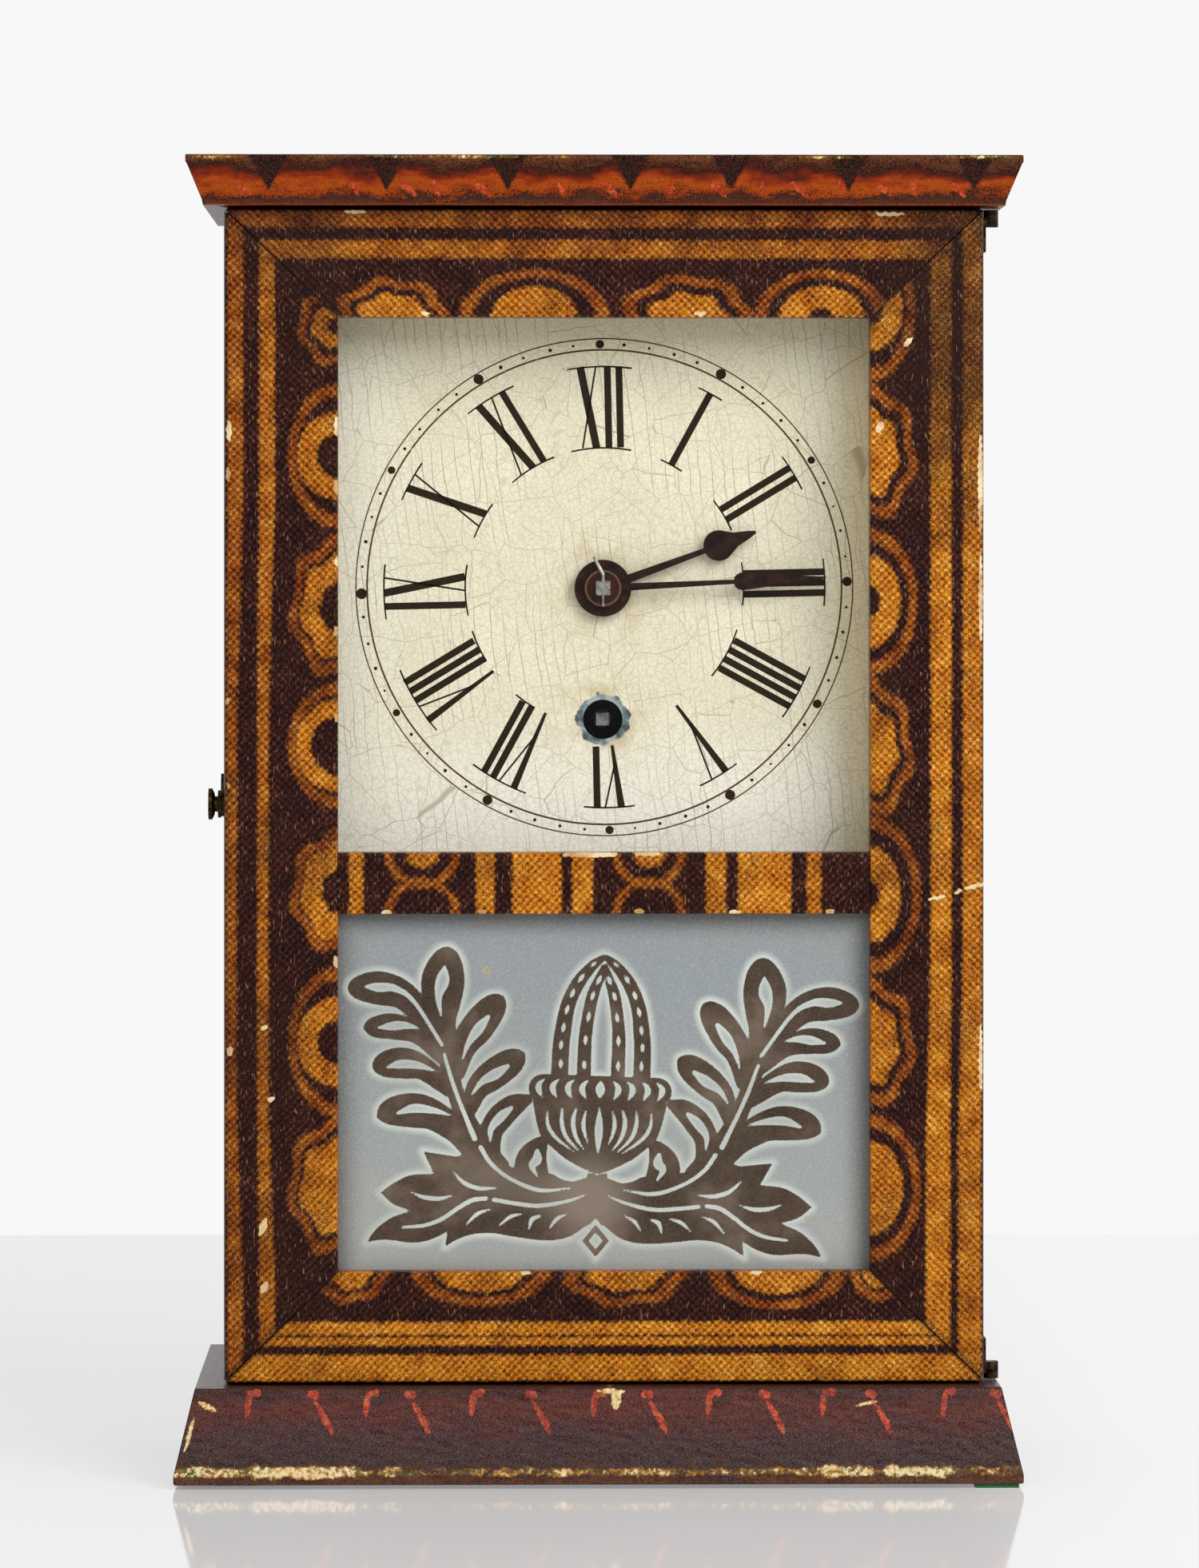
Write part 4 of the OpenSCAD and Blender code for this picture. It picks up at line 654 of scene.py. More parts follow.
def moulding_print(piece, brushwork, along_of, low, high):
    """Stores the brushwork of a cornice or plinth piece on its vertices."""
    at = places(piece.data)
    along, z = along_of(at), at[:, 2]
    around = np.abs(along) > SIDE_RUN - 100
    run = np.where(around, along - np.sign(along) * SIDE_RUN, along)
    waves = unevenness(along, z * 3, 21, 4)
    fine = unevenness(along, z * 2, 5, 6)
    fleck, tooth, worn, level = brushwork(run, z, around.any(), low, high, waves, fine)
    set_attribute(piece.data, "fleck", fleck)
    set_attribute(piece.data, "tooth", tooth)
    set_attribute(piece.data, "worn", np.clip(worn + 0.04 * fine, 0, 1))
    set_attribute(piece.data, "height", level)


# Tablet ornament ---------------------------------------------------------------

# Spines of the brown leaves, as x, z and width. The left half is drawn, and the right half is its
# mirror image with a slight droop.
LEAVES = [
    [(-58.7, 113.7, 0.5), (-56, 113.7, 5.6), (-51.6, 113.6, 7.8), (-46.4, 112, 6.6), (-41.9, 107.3, 5.2),
     (-36.6, 99.4, 4)],
    [(-36.2, 122.5, 0.5), (-36.4, 119.6, 6.8), (-37.1, 115.3, 10), (-37.2, 110.9, 8.6), (-37, 106.5, 6),
     (-36.4, 100.3, 4.4)],
    [(-23.6, 111.2, 1.4), (-25.7, 109, 6.2), (-29.1, 104.7, 7.6), (-32.2, 100.3, 6), (-33.6, 94.1, 3.4)],
    [(-19, 98.2, 1.8), (-21.5, 96.5, 6.2), (-25.6, 93.6, 7), (-29.1, 90.5, 5.4), (-31.2, 85.2, 3.4)],
    [(-17.6, 87.9, 2.4), (-20.7, 86.6, 5), (-23.8, 83.9, 6), (-26, 80.4, 5.4), (-26.2, 75.3, 5),
     (-23.3, 72.7, 3)],
    [(-54.9, 104.5, 1.2), (-52.3, 104.7, 5), (-48.1, 104.7, 6), (-42.8, 102.9, 4.5), (-37.1, 98, 4)],
    [(-52.8, 95.3, 1.2), (-50, 96.1, 6), (-45.9, 96.3, 7.2), (-41.5, 95, 5.4), (-35.7, 90.5, 4)],
    [(-51.8, 84, 1.2), (-48.6, 85.2, 6.4), (-43.7, 85.4, 8), (-39.3, 84.3, 7), (-34, 80.8, 6),
     (-30.8, 77.6, 6)],
    [(-36.6, 100.3, 4.4), (-34.9, 91.9, 4), (-32.6, 85.2, 4.2), (-30.4, 80.4, 5), (-28.6, 75.8, 7),
     (-26, 72.7, 6)],
    [(-16.7, 70.5, 8), (-16.7, 74, 7), (-15, 77.2, 4), (-13.3, 78.6, 1.4)],
]
# Spines of the clear slits in the leaves
SLITS = [
    [(-54.8, 114, 0.7), (-51.9, 113.8, 2.1), (-48.1, 113.5, 1.5), (-43.7, 110.4, 0.9), (-37.3, 100.5, 0.8)],
    [(-36.7, 118.6, 0.5), (-37.2, 115.3, 3.1), (-38.1, 111.8, 1.6), (-37.6, 107.3, 0.4)],
    [(-26.7, 106.9, 1), (-28.9, 104.2, 2.4), (-31.3, 100.7, 1.2), (-32.6, 97.2, 0.3)],
    [(-22.2, 95.6, 1), (-25.1, 93.7, 2.4), (-28.2, 91.9, 1.4), (-30.5, 89, 0.3)],
    [(-21.4, 85.9, 1), (-23.8, 83.9, 2.2), (-26, 81.1, 1.4), (-26.1, 78, 0.3)],
    [(-51.9, 104.5, 0.5), (-48.6, 104.9, 2), (-45.5, 105, 1.5), (-42.3, 104.2, 0.2)],
    [(-49.9, 95.4, 0.5), (-46.8, 96.1, 2), (-42.8, 95.8, 1.6), (-38.5, 94.4, 0.2)],
    [(-47.5, 84.8, 0.7), (-43.7, 85.9, 2), (-39.3, 85.4, 1.4), (-35.3, 84.3, 0.2)],
    [(-36.8, 98.3, 0.7), (-34.9, 91.9, 0.9), (-32.6, 85.7, 0.9), (-29.8, 78.9, 1.2)],
    [(-28.4, 76.9, 1), (-26, 73.1, 0.9), (-21.5, 69.6, 0.8), (-14.9, 67, 0.9), (-7.8, 67.4, 0.3)],
    [(-15.4, 76, 1), (-15.4, 74, 2.2), (-16.6, 72.7, 1.4), (-15.4, 70.2, 0.4)],
    [(-34.8, 71.3, 0.3), (-32.2, 68.7, 0.9), (-28.6, 67.4, 0.9), (-24.9, 67.5, 0.3)],
    [(-44.5, 66.6, 0.2), (-41.5, 65.4, 0.9), (-37.9, 65.1, 0.9), (-34.8, 65.8, 0.2)],
    [(-27.2, 65.1, 0.9), (-30.4, 64.7, 1), (-33.9, 62.7, 0.9), (-37.5, 60.3, 0.9), (-41.5, 58.9, 0.8),
     (-46.3, 58.5, 0.6)],
    [(-25.4, 64.8, 0.9), (-20.7, 64, 0.9), (-14.9, 63.4, 0.9), (-8.3, 64.5, 0.7), (-3.4, 66.2, 0.2)],
    [(-26.1, 62.6, 0.2), (-29.1, 61.6, 0.8), (-31.8, 59, 0.3)],
    [(-18.9, 61.5, 0.3), (-21.5, 60.9, 0.8), (-24, 59, 0.3)],
    [(-14.7, 61, 0.5), (-16.5, 60.3, 1), (-17.3, 58.1, 0.3)],
    [(-8.5, 61.5, 0.3), (-10.9, 60.3, 0.8), (-12.5, 58.2, 0.3)],
]
# The spread of leaves below, as an outline whose numbered points are sharp
GROUND_LEAVES = [
    (0.8, 70.9), (-4.3, 69.8), (-7.2, 69), (-9.6, 69.5), (-11.8, 70.7), (-17.1, 71.6), (-21.3, 72.4),
    (-26, 74), (-30.4, 75.4), (-34.3, 74.8), (-41.7, 76), (-39.2, 70.8), (-44.5, 70.5), (-48.5, 68.7),
    (-51.5, 66.5), (-48.5, 63.8), (-44.5, 62.3), (-49, 60.7), (-52.5, 58.1), (-54.7, 55.1), (-50.3, 55.6),
    (-43.7, 54.9), (-39.2, 55.9), (-36.1, 57.5), (-36.6, 54), (-33.9, 55.6), (-30.4, 56.8), (-26, 57.1),
    (-21.5, 56.4), (-16.2, 55.6), (-11.8, 55.4), (-7.8, 56.3), (-4.7, 58.3), (-3.2, 59.6), (0.8, 58.5),
]
GROUND_CORNERS = (0, 4, 9, 10, 11, 14, 16, 19, 23, 24, 33, 34)
# The stencil is symmetrical about an axis that leans a little to the right
AXIS_FOOT = (0.0, 113.0)
AXIS_LEAN = math.radians(2.06)
# The acorn's left half, upright, before the lean
ACORN_RIBS = [
    [(-0.3, 120.6, 1.4), (-2.5, 118.9, 2.3), (-5.2, 115.7, 3.0), (-7.2, 112, 3.3), (-8.4, 108.2, 3.5),
     (-9.0, 104, 3.8), (-9.4, 100, 3.9), (-9.5, 92.9, 4.0)],
    [(-0.1, 118.4, 1.4), (-1.2, 115.5, 2.2), (-2.5, 111.8, 2.8), (-3.4, 106.7, 2.9), (-3.9, 101.4, 3.1),
     (-3.9, 92.9, 3.3)],
]
# Clear lozenges along each rib: x, z, lean as sideways run a millimetre of height
RIB_LOZENGES = [
    (-2.6, 119.0, 1.1), (-5.3, 115.7, 0.65), (-7.2, 112.1, 0.42), (-8.3, 108.3, 0.27), (-9.0, 104.1, 0.14),
    (-9.4, 100.1, 0.05), (-9.3, 95.8, 0.0),
    (-1.2, 115.4, 0.45), (-2.5, 111.7, 0.3), (-3.3, 106.8, 0.14), (-3.8, 101.5, 0.06), (-3.9, 95.7, 0.0),
]
# The cup's bowl below them, as an outline with sharp ends at its lip and foot, and the slits in it
BOWL = [
    (0, 88), (-15.6, 87.4), (-14.2, 81.3), (-13, 78.5), (-11.3, 77), (-7.9, 74.2), (-4.2, 72.2),
    (-1.3, 71.0), (0, 70.6),
]
BOWL_CORNERS = (0, 1, 8)
BOWL_SLITS = [
    [(-3.1, 85.2, 0.3), (-3.6, 82.3, 0.9), (-3.2, 79.8, 0.7), (-2.3, 77.6, 0.2)],
    [(-5.4, 85.5, 0.4), (-6.0, 82.6, 1.0), (-5.2, 79.0, 0.8), (-3.1, 76.0, 0.2)],
    [(-8.6, 85.4, 0.4), (-8.6, 82.1, 0.9), (-7.4, 78.9, 0.8), (-4.4, 75.8, 0.2)],
    [(-12.0, 84.9, 0.3), (-11.8, 81.7, 0.8), (-9.9, 78.8, 0.8), (-5.5, 75.5, 0.2)],
]
CUP_SLITS = (-3.7, -7.0, -10.5, -13.8)  # their x in the cup's rim
MIDDLE_SLITS = [
    [(0, 92.0, 0.3), (0, 90.2, 2.1), (0, 88.3, 0.3)], [(0, 86, 0.3), (0, 80.5, 1.9), (0, 75.2, 0.2)],
]
DIAMOND = (-1.9, 55.3)  # middle of the small diamond at the foot
# Stray spots on the frosted field: x, z and radius
SPOTS = [(-27.0, 117.6, 1.0), (10.0, 124.4, 0.3), (20.5, 118.9, 0.4), (-24, 64.5, 0.2), (46.8, 60.5, 0.6)]


def frond(x, z):
    """Depth inside the left frond and the leaves on the ground."""
    brown = into_outline(x, z, flowing(GROUND_LEAVES, GROUND_CORNERS, closed=True))
    for leaf in LEAVES:
        brown = np.maximum(brown, into_stroke(x, z, leaf))
    for slit in SLITS:
        brown = np.minimum(brown, -into_stroke(x, z, slit))
    return brown


def acorn(x, z):
    """Depth inside the left half of the ribbed acorn and its cup."""
    brown = into_stroke(x, z, [(-13.2, 90.0, 6.6), (-7, 90.0, 6.6), (0, 90.0, 6.6)])
    brown = np.maximum(brown, into_outline(x, z, flowing(BOWL, BOWL_CORNERS, closed=True)))
    for rib in ACORN_RIBS:
        brown = np.maximum(brown, into_stroke(x, z, rib))
    for cx, cz, lean in RIB_LOZENGES:
        size = 0.75 if cz > 118 else 1.0
        rise = 1.25 * size / math.hypot(1, lean)
        run = rise * lean
        spine = [(cx + run, cz + rise, 0.1), (cx, cz, 0.95 * size), (cx - run, cz - rise, 0.1)]
        brown = np.minimum(brown, -into_stroke(x, z, spine))
    for slit in BOWL_SLITS:
        brown = np.minimum(brown, -into_stroke(x, z, slit))
    for place in CUP_SLITS:
        spine = [
            (place + 0.9, 92.2, 0.2), (place - 0.3, 91.0, 1.1), (place - 0.4, 89.7, 1.3),
            (place + 0.5, 87.9, 0.2)]
        brown = np.minimum(brown, -into_stroke(x, z, spine))
    for slit in MIDDLE_SLITS:
        brown = np.minimum(brown, -into_stroke(x, z, slit))
    return brown


def ornament(x, z):
    """Depth inside the whole brown ornament, negative in the frosted field."""
    lean, rise = math.sin(AXIS_LEAN), math.cos(AXIS_LEAN)
    aside = (x - AXIS_FOOT[0]) * rise - (z - AXIS_FOOT[1]) * lean
    up = (x - AXIS_FOOT[0]) * lean + (z - AXIS_FOOT[1]) * rise
    turned_x = AXIS_FOOT[0] - aside * rise + up * lean
    turned_z = AXIS_FOOT[1] + aside * lean + up * rise
    brown = np.maximum(frond(x, z), frond(turned_x, turned_z))
    brown = np.maximum(brown, acorn(-np.abs(aside), AXIS_FOOT[1] + up))
    reach = np.abs(x - DIAMOND[0]) / 3.1 + np.abs(z - DIAMOND[1]) / 3.8
    ring = np.minimum(1 - reach, reach - 0.52) * 2.4
    clear = (1 - np.abs(x - DIAMOND[0]) / 4.4 - np.abs(z - DIAMOND[1]) / 5.2) * 2.4
    return np.maximum(np.minimum(brown, -clear), ring)


# Ink on the dial ----------------------------------------------------------------

def ribbon(points, widths):
    """Left and right sides of a flat stroke along points."""
    points = np.array(points, float)
    run = np.gradient(points, axis=0)
    run /= np.hypot(run[:, 0], run[:, 1])[:, None]
    aside = np.stack([-run[:, 1], run[:, 0]], axis=1) * np.broadcast_to(widths, len(points))[:, None] / 2
    return points + aside, points - aside


def arc(radius, low, high, pieces):
    """Points on a circle round the hands, between two clock angles in degrees."""
    turns = np.radians(np.linspace(low, high, pieces + 1))
    return np.stack([radius * np.sin(turns), radius * np.cos(turns)], axis=1)


def inked(name, ribbons, centre, depth, thickness):
    """Flat strokes, each a strip of faces drawn from centre beside the hands, given a skin's thickness."""
    points, faces = [], []
    for left, right in ribbons:
        first = len(points)
        count = len(left)
        for x, z in [*left, *right]:
            points.append((centre[0] + x, depth, HANDS_Z + centre[1] + z))
        for i in range(first, first + count - 1):
            faces.append((i, i + 1, i + count + 1, i + count))
    mesh = bpy.data.meshes.new(name)
    mesh.from_pydata([tuple(v * MM for v in point) for point in points], [], faces)
    piece = bpy.data.objects.new(name, mesh)
    bpy.context.scene.collection.objects.link(piece)
    with editing(piece):
        bpy.ops.mesh.extrude_region_move(TRANSFORM_OT_translate={"value": (0, -thickness * MM, 0)})
        bpy.ops.mesh.select_all(action="SELECT")
        bpy.ops.mesh.normals_make_consistent(inside=False)
    return piece


HOUR_DOT, MINUTE_DOT = 1.0, 0.36  # radii of the dots between the minute lines


def minute_dots(radius, drift):
    """Sixty brushed dots of uneven size on a circle, the larger ones at the hours."""
    random = np.random.default_rng(11)
    level = np.linspace(-0.98, 0.98, 9)
    dots = []
    for minute in range(60):
        size = HOUR_DOT if minute % 5 == 0 else MINUTE_DOT
        size *= 1 + 0.14 * random.standard_normal()
        turn = math.radians(minute * 6 + drift + 0.15 * random.standard_normal())
        cx, cz = radius * math.sin(turn), radius * math.cos(turn)
        half = size * np.sqrt(1 - level**2)
        dots.append([np.stack([cx + side * half, cz + size * level], axis=1) for side in (-1, 1)])
    return dots


NUMERALS = ["XII", "I", "II", "III", "IIII", "V", "VI", "VII", "VIII", "IX", "X", "XI"]
LETTER_WIDTHS = {"I": 0.0, "V": 3.8, "X": 3.6}  # between the middles of a letter's outer strokes


def numeral(word, turn, outer, inner, thick, thin, gap):
    """The strokes of one Roman numeral, its feet towards the centre, with its two serif arcs."""
    across, cursor = [], 0.0
    for letter, after in zip(word, word[1:] + " "):
        across.append(cursor + LETTER_WIDTHS[letter] / 2)
        cursor += LETTER_WIDTHS[letter] + gap * (0.68 if letter == "V" else 1)
        cursor += 0.15 * gap * (after == "X")
    middle = (across[-1] + LETTER_WIDTHS[word[-1]] / 2) / 2
    strokes = []
    for letter, place in zip(word, across):
        a, half = place - middle, LETTER_WIDTHS[letter] / 2
        if letter == "I":
            strokes.append(((a, outer), (a, inner), thick, thick))
        elif letter == "X":
            strokes.append(((a - half, outer), (a + half * 0.9, inner), thick * 1.12, thick * 1.12))
            strokes.append(((a + half, outer), (a - half * 0.9, inner), thin, thin))
        else:
            foot = (a, inner - 0.2)
            strokes.append(((a - half, outer), foot, thick * 1.05, thick * 0.45))
            joint = (a - half * 0.30, inner + 0.28 * (outer - inner))
            strokes.append(((a + half, outer), joint, thin, thin))
    reach = middle + thick / 2 + 2.3
    right, up = math.cos(math.radians(turn)), math.sin(math.radians(turn))
    made = []
    for (x0, z0), (x1, z1), w0, w1 in strokes:
        shares = np.linspace(0, 1, 5)
        line = np.stack([x0 + (x1 - x0) * shares, z0 + (z1 - z0) * shares], axis=1)
        made.append([np.stack([s[:, 0] * right + s[:, 1] * up, -s[:, 0] * up + s[:, 1] * right], axis=1)
                     for s in ribbon(line, w0 + (w1 - w0) * shares)])

    def serif(radius, low, high):
        line = arc(radius, turn + math.degrees(low / radius), turn + math.degrees(high / radius), 14)
        return ribbon(line, thin * np.linspace(0.85, 1, 15))

    made.append(serif(outer, -reach, reach))
    if word not in ("V", "VI"):
        low = across[1] - middle - thick / 2 if word[0] == "V" else -reach * 0.92
        high = reach - 0.9 if word[0] == "V" else reach * 0.92
        made.append(serif(inner, low, high))
    return made


# Finishes --------------------------------------------------------------------------

def embossed_paper(tree, bright_stops, deep_stops, dark_stops):
    """Embossed print under old varnish: warm amber on near black with painted light and shade on its beads,
    glinting, and worn to cream stock with painted highlights along its edges.
    """
    spot = own_place(tree)
    bead = stored(tree, "bead")
    depth = stored(tree, "amber")
    worn = stored(tree, "worn")
    dull = stored(tree, "dull")
    ragged = noise(tree, spot, 1.3, 4.0, 0.65)
    coarse = noise(tree, spot, 5.5, 5.0, 0.6)
    fine = noise(tree, spot, 0.55, 3.0, 0.6)
    # amber shapes with ragged edges, reaching further and brighter on top of each bead and darker between
    # them: painted light and shade on the pressed relief
    shaken = times_plus(tree, ragged, 1.9, depth)
    shaken = times_plus(tree, bead, 0.35, shaken)
    tone = remap(tree, shaken, 0.55, 1.65, smooth=True)
    lively = times_plus(tree, fine, 0.56, maths(tree, "MULTIPLY", bead, 0.34))
    lively = times_plus(tree, coarse, 0.37, lively)
    bright = tones(tree, lively, bright_stops)
    deep = tones(tree, lively, deep_stops)
    dark = tones(tree, lively, dark_stops)
    glow = stored(tree, "glow")
    glow = times_plus(tree, coarse, 0.5, glow)
    glow = remap(tree, glow, 0.45, 1.1)
    amber = blend(tree, glow, deep, bright)
    printed = blend(tree, tone, dark, amber)
    # black grit, and darkening where the paper is dull: dirt at the mitres and in patches, and painted
    # shade low on the left stile
    grit = noise(tree, spot, 0.30, 1.0)
    grit = times_plus(tree, dull, 0.10, grit)
    grit = remap(tree, grit, 0.53, 0.66, 0.0, 0.80)
    printed = blend(tree, grit, printed, "#1D0B07")
    dirt_and_shade_share = maths(tree, "MULTIPLY", dull, 0.50)
    dirtied_and_shaded = blend(tree, dirt_and_shade_share, printed, "#2A1610")
    # pale glints along the slanting weave, and cream where the paper is worn: bare paper, and along the
    # edges painted highlights as well
    slanted = node(tree, "Mapping", {
        "Vector": spot, "Rotation": (0, math.radians(-18), 0), "Scale": (1.0, 1.0, 0.22)})
    thread = noise(tree, slanted, 0.42, 1.0)
    glint = remap(tree, thread, 0.63, 0.76, 0.0, 0.45)
    dirtied_and_shaded = blend(tree, glint, dirtied_and_shaded, "#B88A66")
    rubbed_off = times_plus(tree, fine, 0.5, worn)
    rubbed_off = times_plus(tree, bead, 0.34, rubbed_off)
    rubbed_off = remap(tree, rubbed_off, 0.90, 1.02)
    cream = tones(tree, coarse, [(0.38, "#C08A4E"), (0.60, "#EBD6A8")])
    surface = blend(tree, rubbed_off, dirtied_and_shaded, cream)
    sheen = remap(tree, fine, 0.3, 0.7, 0.17, 0.36)
    return principled(tree, surface, sheen, bumps(tree, fine, 0.6, 0.12), gloss=0.15)


def brushed_moulding(tree, levels, streak, dust, wash, shine):
    """Dark varnished paper: colour runs by height, with red brushed commas and rubbed edges."""
    spot = own_place(tree)
    level = stored(tree, "height")
    tooth = stored(tree, "tooth")
    comma = stored(tree, "fleck")
    worn = stored(tree, "worn")
    ragged = noise(tree, spot, 1.1, 4.0, 0.65)
    long = node(tree, "Mapping", {"Vector": spot, "Scale": (streak, streak, 1.0)})
    cloud = noise(tree, long, 5.0, 5.0, 0.6)
    grain = noise(tree, spot, 0.35, 2.0, 0.6)
    shaken = times_plus(tree, cloud, wash, level)
    shaken = times_plus(tree, grain, 0.5, shaken)
    shaken = maths(tree, "SUBTRACT", shaken, wash / 2 + 0.25)
    ground = tones(tree, shaken, levels)
    # black teeth, red commas that fade in places, and specks of dust and pits
    edge = times_plus(tree, ragged, 1.2, tooth)
    edge = remap(tree, edge, 0.40, 1.0)
    ground = blend(tree, edge, ground, "#120C0D")
    edge = times_plus(tree, ragged, 0.9, comma)
    edge = remap(tree, edge, 0.34, 0.58)
    faded = remap(tree, cloud, 0.40, 0.56, 1.0, 0.66)
    edge = maths(tree, "MULTIPLY", edge, faded)
    red = tones(tree, ragged, [(0.35, "#8C240C"), (0.50, "#BC3C1C"), (0.62, "#DE6640")])
    ground = blend(tree, edge, ground, red)
    speck = remap(tree, grain, 0.47, 0.72, 0.0, 0.45)
    ground = blend(tree, speck, ground, dust)
    pit = remap(tree, grain, 0.30, 0.46, 0.8, 0.0)
    ground = blend(tree, pit, ground, "#140A0A")
    # rubbed to ochre first and then to the bare cream paper
    rubbed_off = times_plus(tree, ragged, 0.8, worn)
    bare = remap(tree, rubbed_off, 0.82, 0.92)
    ochre = remap(tree, rubbed_off, 0.68, 0.82, 0.0, 0.85)
    dirt = tones(tree, cloud, [(0.40, "#56601F"), (0.50, "#8F641E"), (0.60, "#C0852A")])
    ground = blend(tree, ochre, ground, dirt)
    cream = tones(tree, ragged, [(0.38, "#C79A55"), (0.58, "#EAD7A6")])
    surface = blend(tree, bare, ground, cream)
    sheen = remap(tree, grain, 0.3, 0.7, 0.24, 0.42)
    return principled(tree, surface, sheen, bumps(tree, grain, 0.5, 0.1), gloss=shine)


def crazed_enamel(tree):
    """Cream oil paint on zinc: a fine web of age cracks, drawn out upright, with rust-brown stains and
    painted light near the frame's edges.
    """
    spot = own_place(tree)
    bent = noise(tree, spot, 14, 3.0)
    shift = node(tree, "VectorMath", {0: bent.outputs["Color"], "Scale": 6.0 * MM}, operation="SCALE")
    warped = node(tree, "VectorMath", {0: spot, 1: shift}, operation="ADD")
    flat = node(tree, "Mapping", {"Vector": warped, "Scale": (1.0, 0.0, 1.0)})
    patchy = noise(tree, spot, 20, 3.0)
    here = remap(tree, patchy, 0.40, 0.60)
    elsewhere = remap(tree, patchy, 0.36, 0.56, 1.0, 0.2)
    slanted = node(tree, "Mapping", {"Vector": spot, "Rotation": (0, math.radians(7), 0)})
    slanted = node(tree, "VectorMath", {0: bent.outputs["Color"], 1: [2.5 * MM] * 3, 2: slanted},
                   operation="MULTIPLY_ADD")
    upright = node(tree, "SeparateXYZ", {"Vector": slanted}).outputs["X"]
    cracked = None
    # crack spacing and half width in millimetres, strength, and where each web shows
    for source, size, width, strength, where in (
        (flat, 11.0, 0.085, 0.55, None), (flat, 4.2, 0.07, 0.34, elsewhere),
        (upright, 2.9, 0.12, 0.75, here), (flat, 1.3, 0.10, 0.24, None),
    ):
        if source is upright:
            aim = {"W": maths(tree, "MULTIPLY", source, per_mm(size)), "Scale": 1.0}
        else:
            aim = {"Vector": source, "Scale": per_mm(size)}
        web = node(tree, "TexVoronoi", aim, voronoi_dimensions="1D" if source is upright else "3D",
                   feature="DISTANCE_TO_EDGE")
        web = remap(tree, web, 0.3 * width / size, width / size, strength, 0.0)
        if where:
            web = maths(tree, "MULTIPLY", web, where)
        cracked = maths(tree, "MAXIMUM", cracked, web) if cracked else web
    paint = tones(tree, patchy, [(0.32, "#ECE5CA"), (0.68, "#F6EFD7")])
    at = node(tree, "SeparateXYZ", {"Vector": spot})
    # painted light: the enamel is made palest low and on the left, where the frame's shade falls, and warm
    # and bright near the top and the right edge, lifting the frame's shadow there and giving it a warm cast
    for axis, low, high, strength, tone in (
        ("Z", 182, 154, 0.95, "#FFFBEE"), ("X", -38, -58, 0.70, "#FFFBEA"),
        ("Z", 257, 268, 0.50, "#FFEFC4"), ("X", 50, 62, 0.70, "#FFE9B4"),
    ):
        painted_light_share = remap(tree, at.outputs[axis], low * MM, high * MM, 0.0, strength, smooth=True)
        paint = blend(tree, painted_light_share, paint, tone)
    paint = blend(tree, cracked, paint, "#86713F")
    # rusty stains round the hands and the winding hole, whose rim is worn to the zinc
    centre = (0, DIAL_FACE * MM, HANDS_Z * MM)
    hole = (0, DIAL_FACE * MM, WINDING_Z * MM)
    blotch = noise(tree, spot, 6, 4.0)
    for place, low, high, strength in ((centre, 5.0, 16.0, 0.55), (hole, 5.0, 15.0, 0.60)):
        away = distance(tree, spot, place)
        near = remap(tree, away, low * MM, high * MM, strength, 0.0)
        stain = maths(tree, "MULTIPLY", near, remap(tree, blotch, 0.4, 0.62))
        paint = blend(tree, stain, paint, "#B79A5C")
    away = distance(tree, spot, hole)
    torn = noise(tree, spot, 2.6, 2.0)
    ragged = times_plus(tree, torn, 3.2 * MM, away)
    bare = remap(tree, ragged, 7.55 * MM, 7.7 * MM, 1.0, 0.0)
    zinc = tones(tree, torn, [(0.36, "#444E54"), (0.48, "#76868E"), (0.62, "#A8B2B2")])
    surface = blend(tree, bare, paint, zinc)
    height = maths(tree, "MULTIPLY", cracked, -1.0)
    height = maths(tree, "SUBTRACT", height, bare)
    return principled(tree, surface, 0.46, bumps(tree, height, 0.4, 0.06), gloss=0.35)


def old_ink(tree, shade, pale, size, amount):
    """Oil ink on the dial, flaked off in specks that follow the cracks."""
    spot = own_place(tree)
    flakes = noise(tree, spot, size, 5.0, 0.75)
    gone = remap(tree, flakes, amount, amount + 0.03)
    surface = blend(tree, gone, shade, pale)
    return principled(tree, surface, 0.45, bumps(tree, flakes, 0.3, 0.03), gloss=0.06)


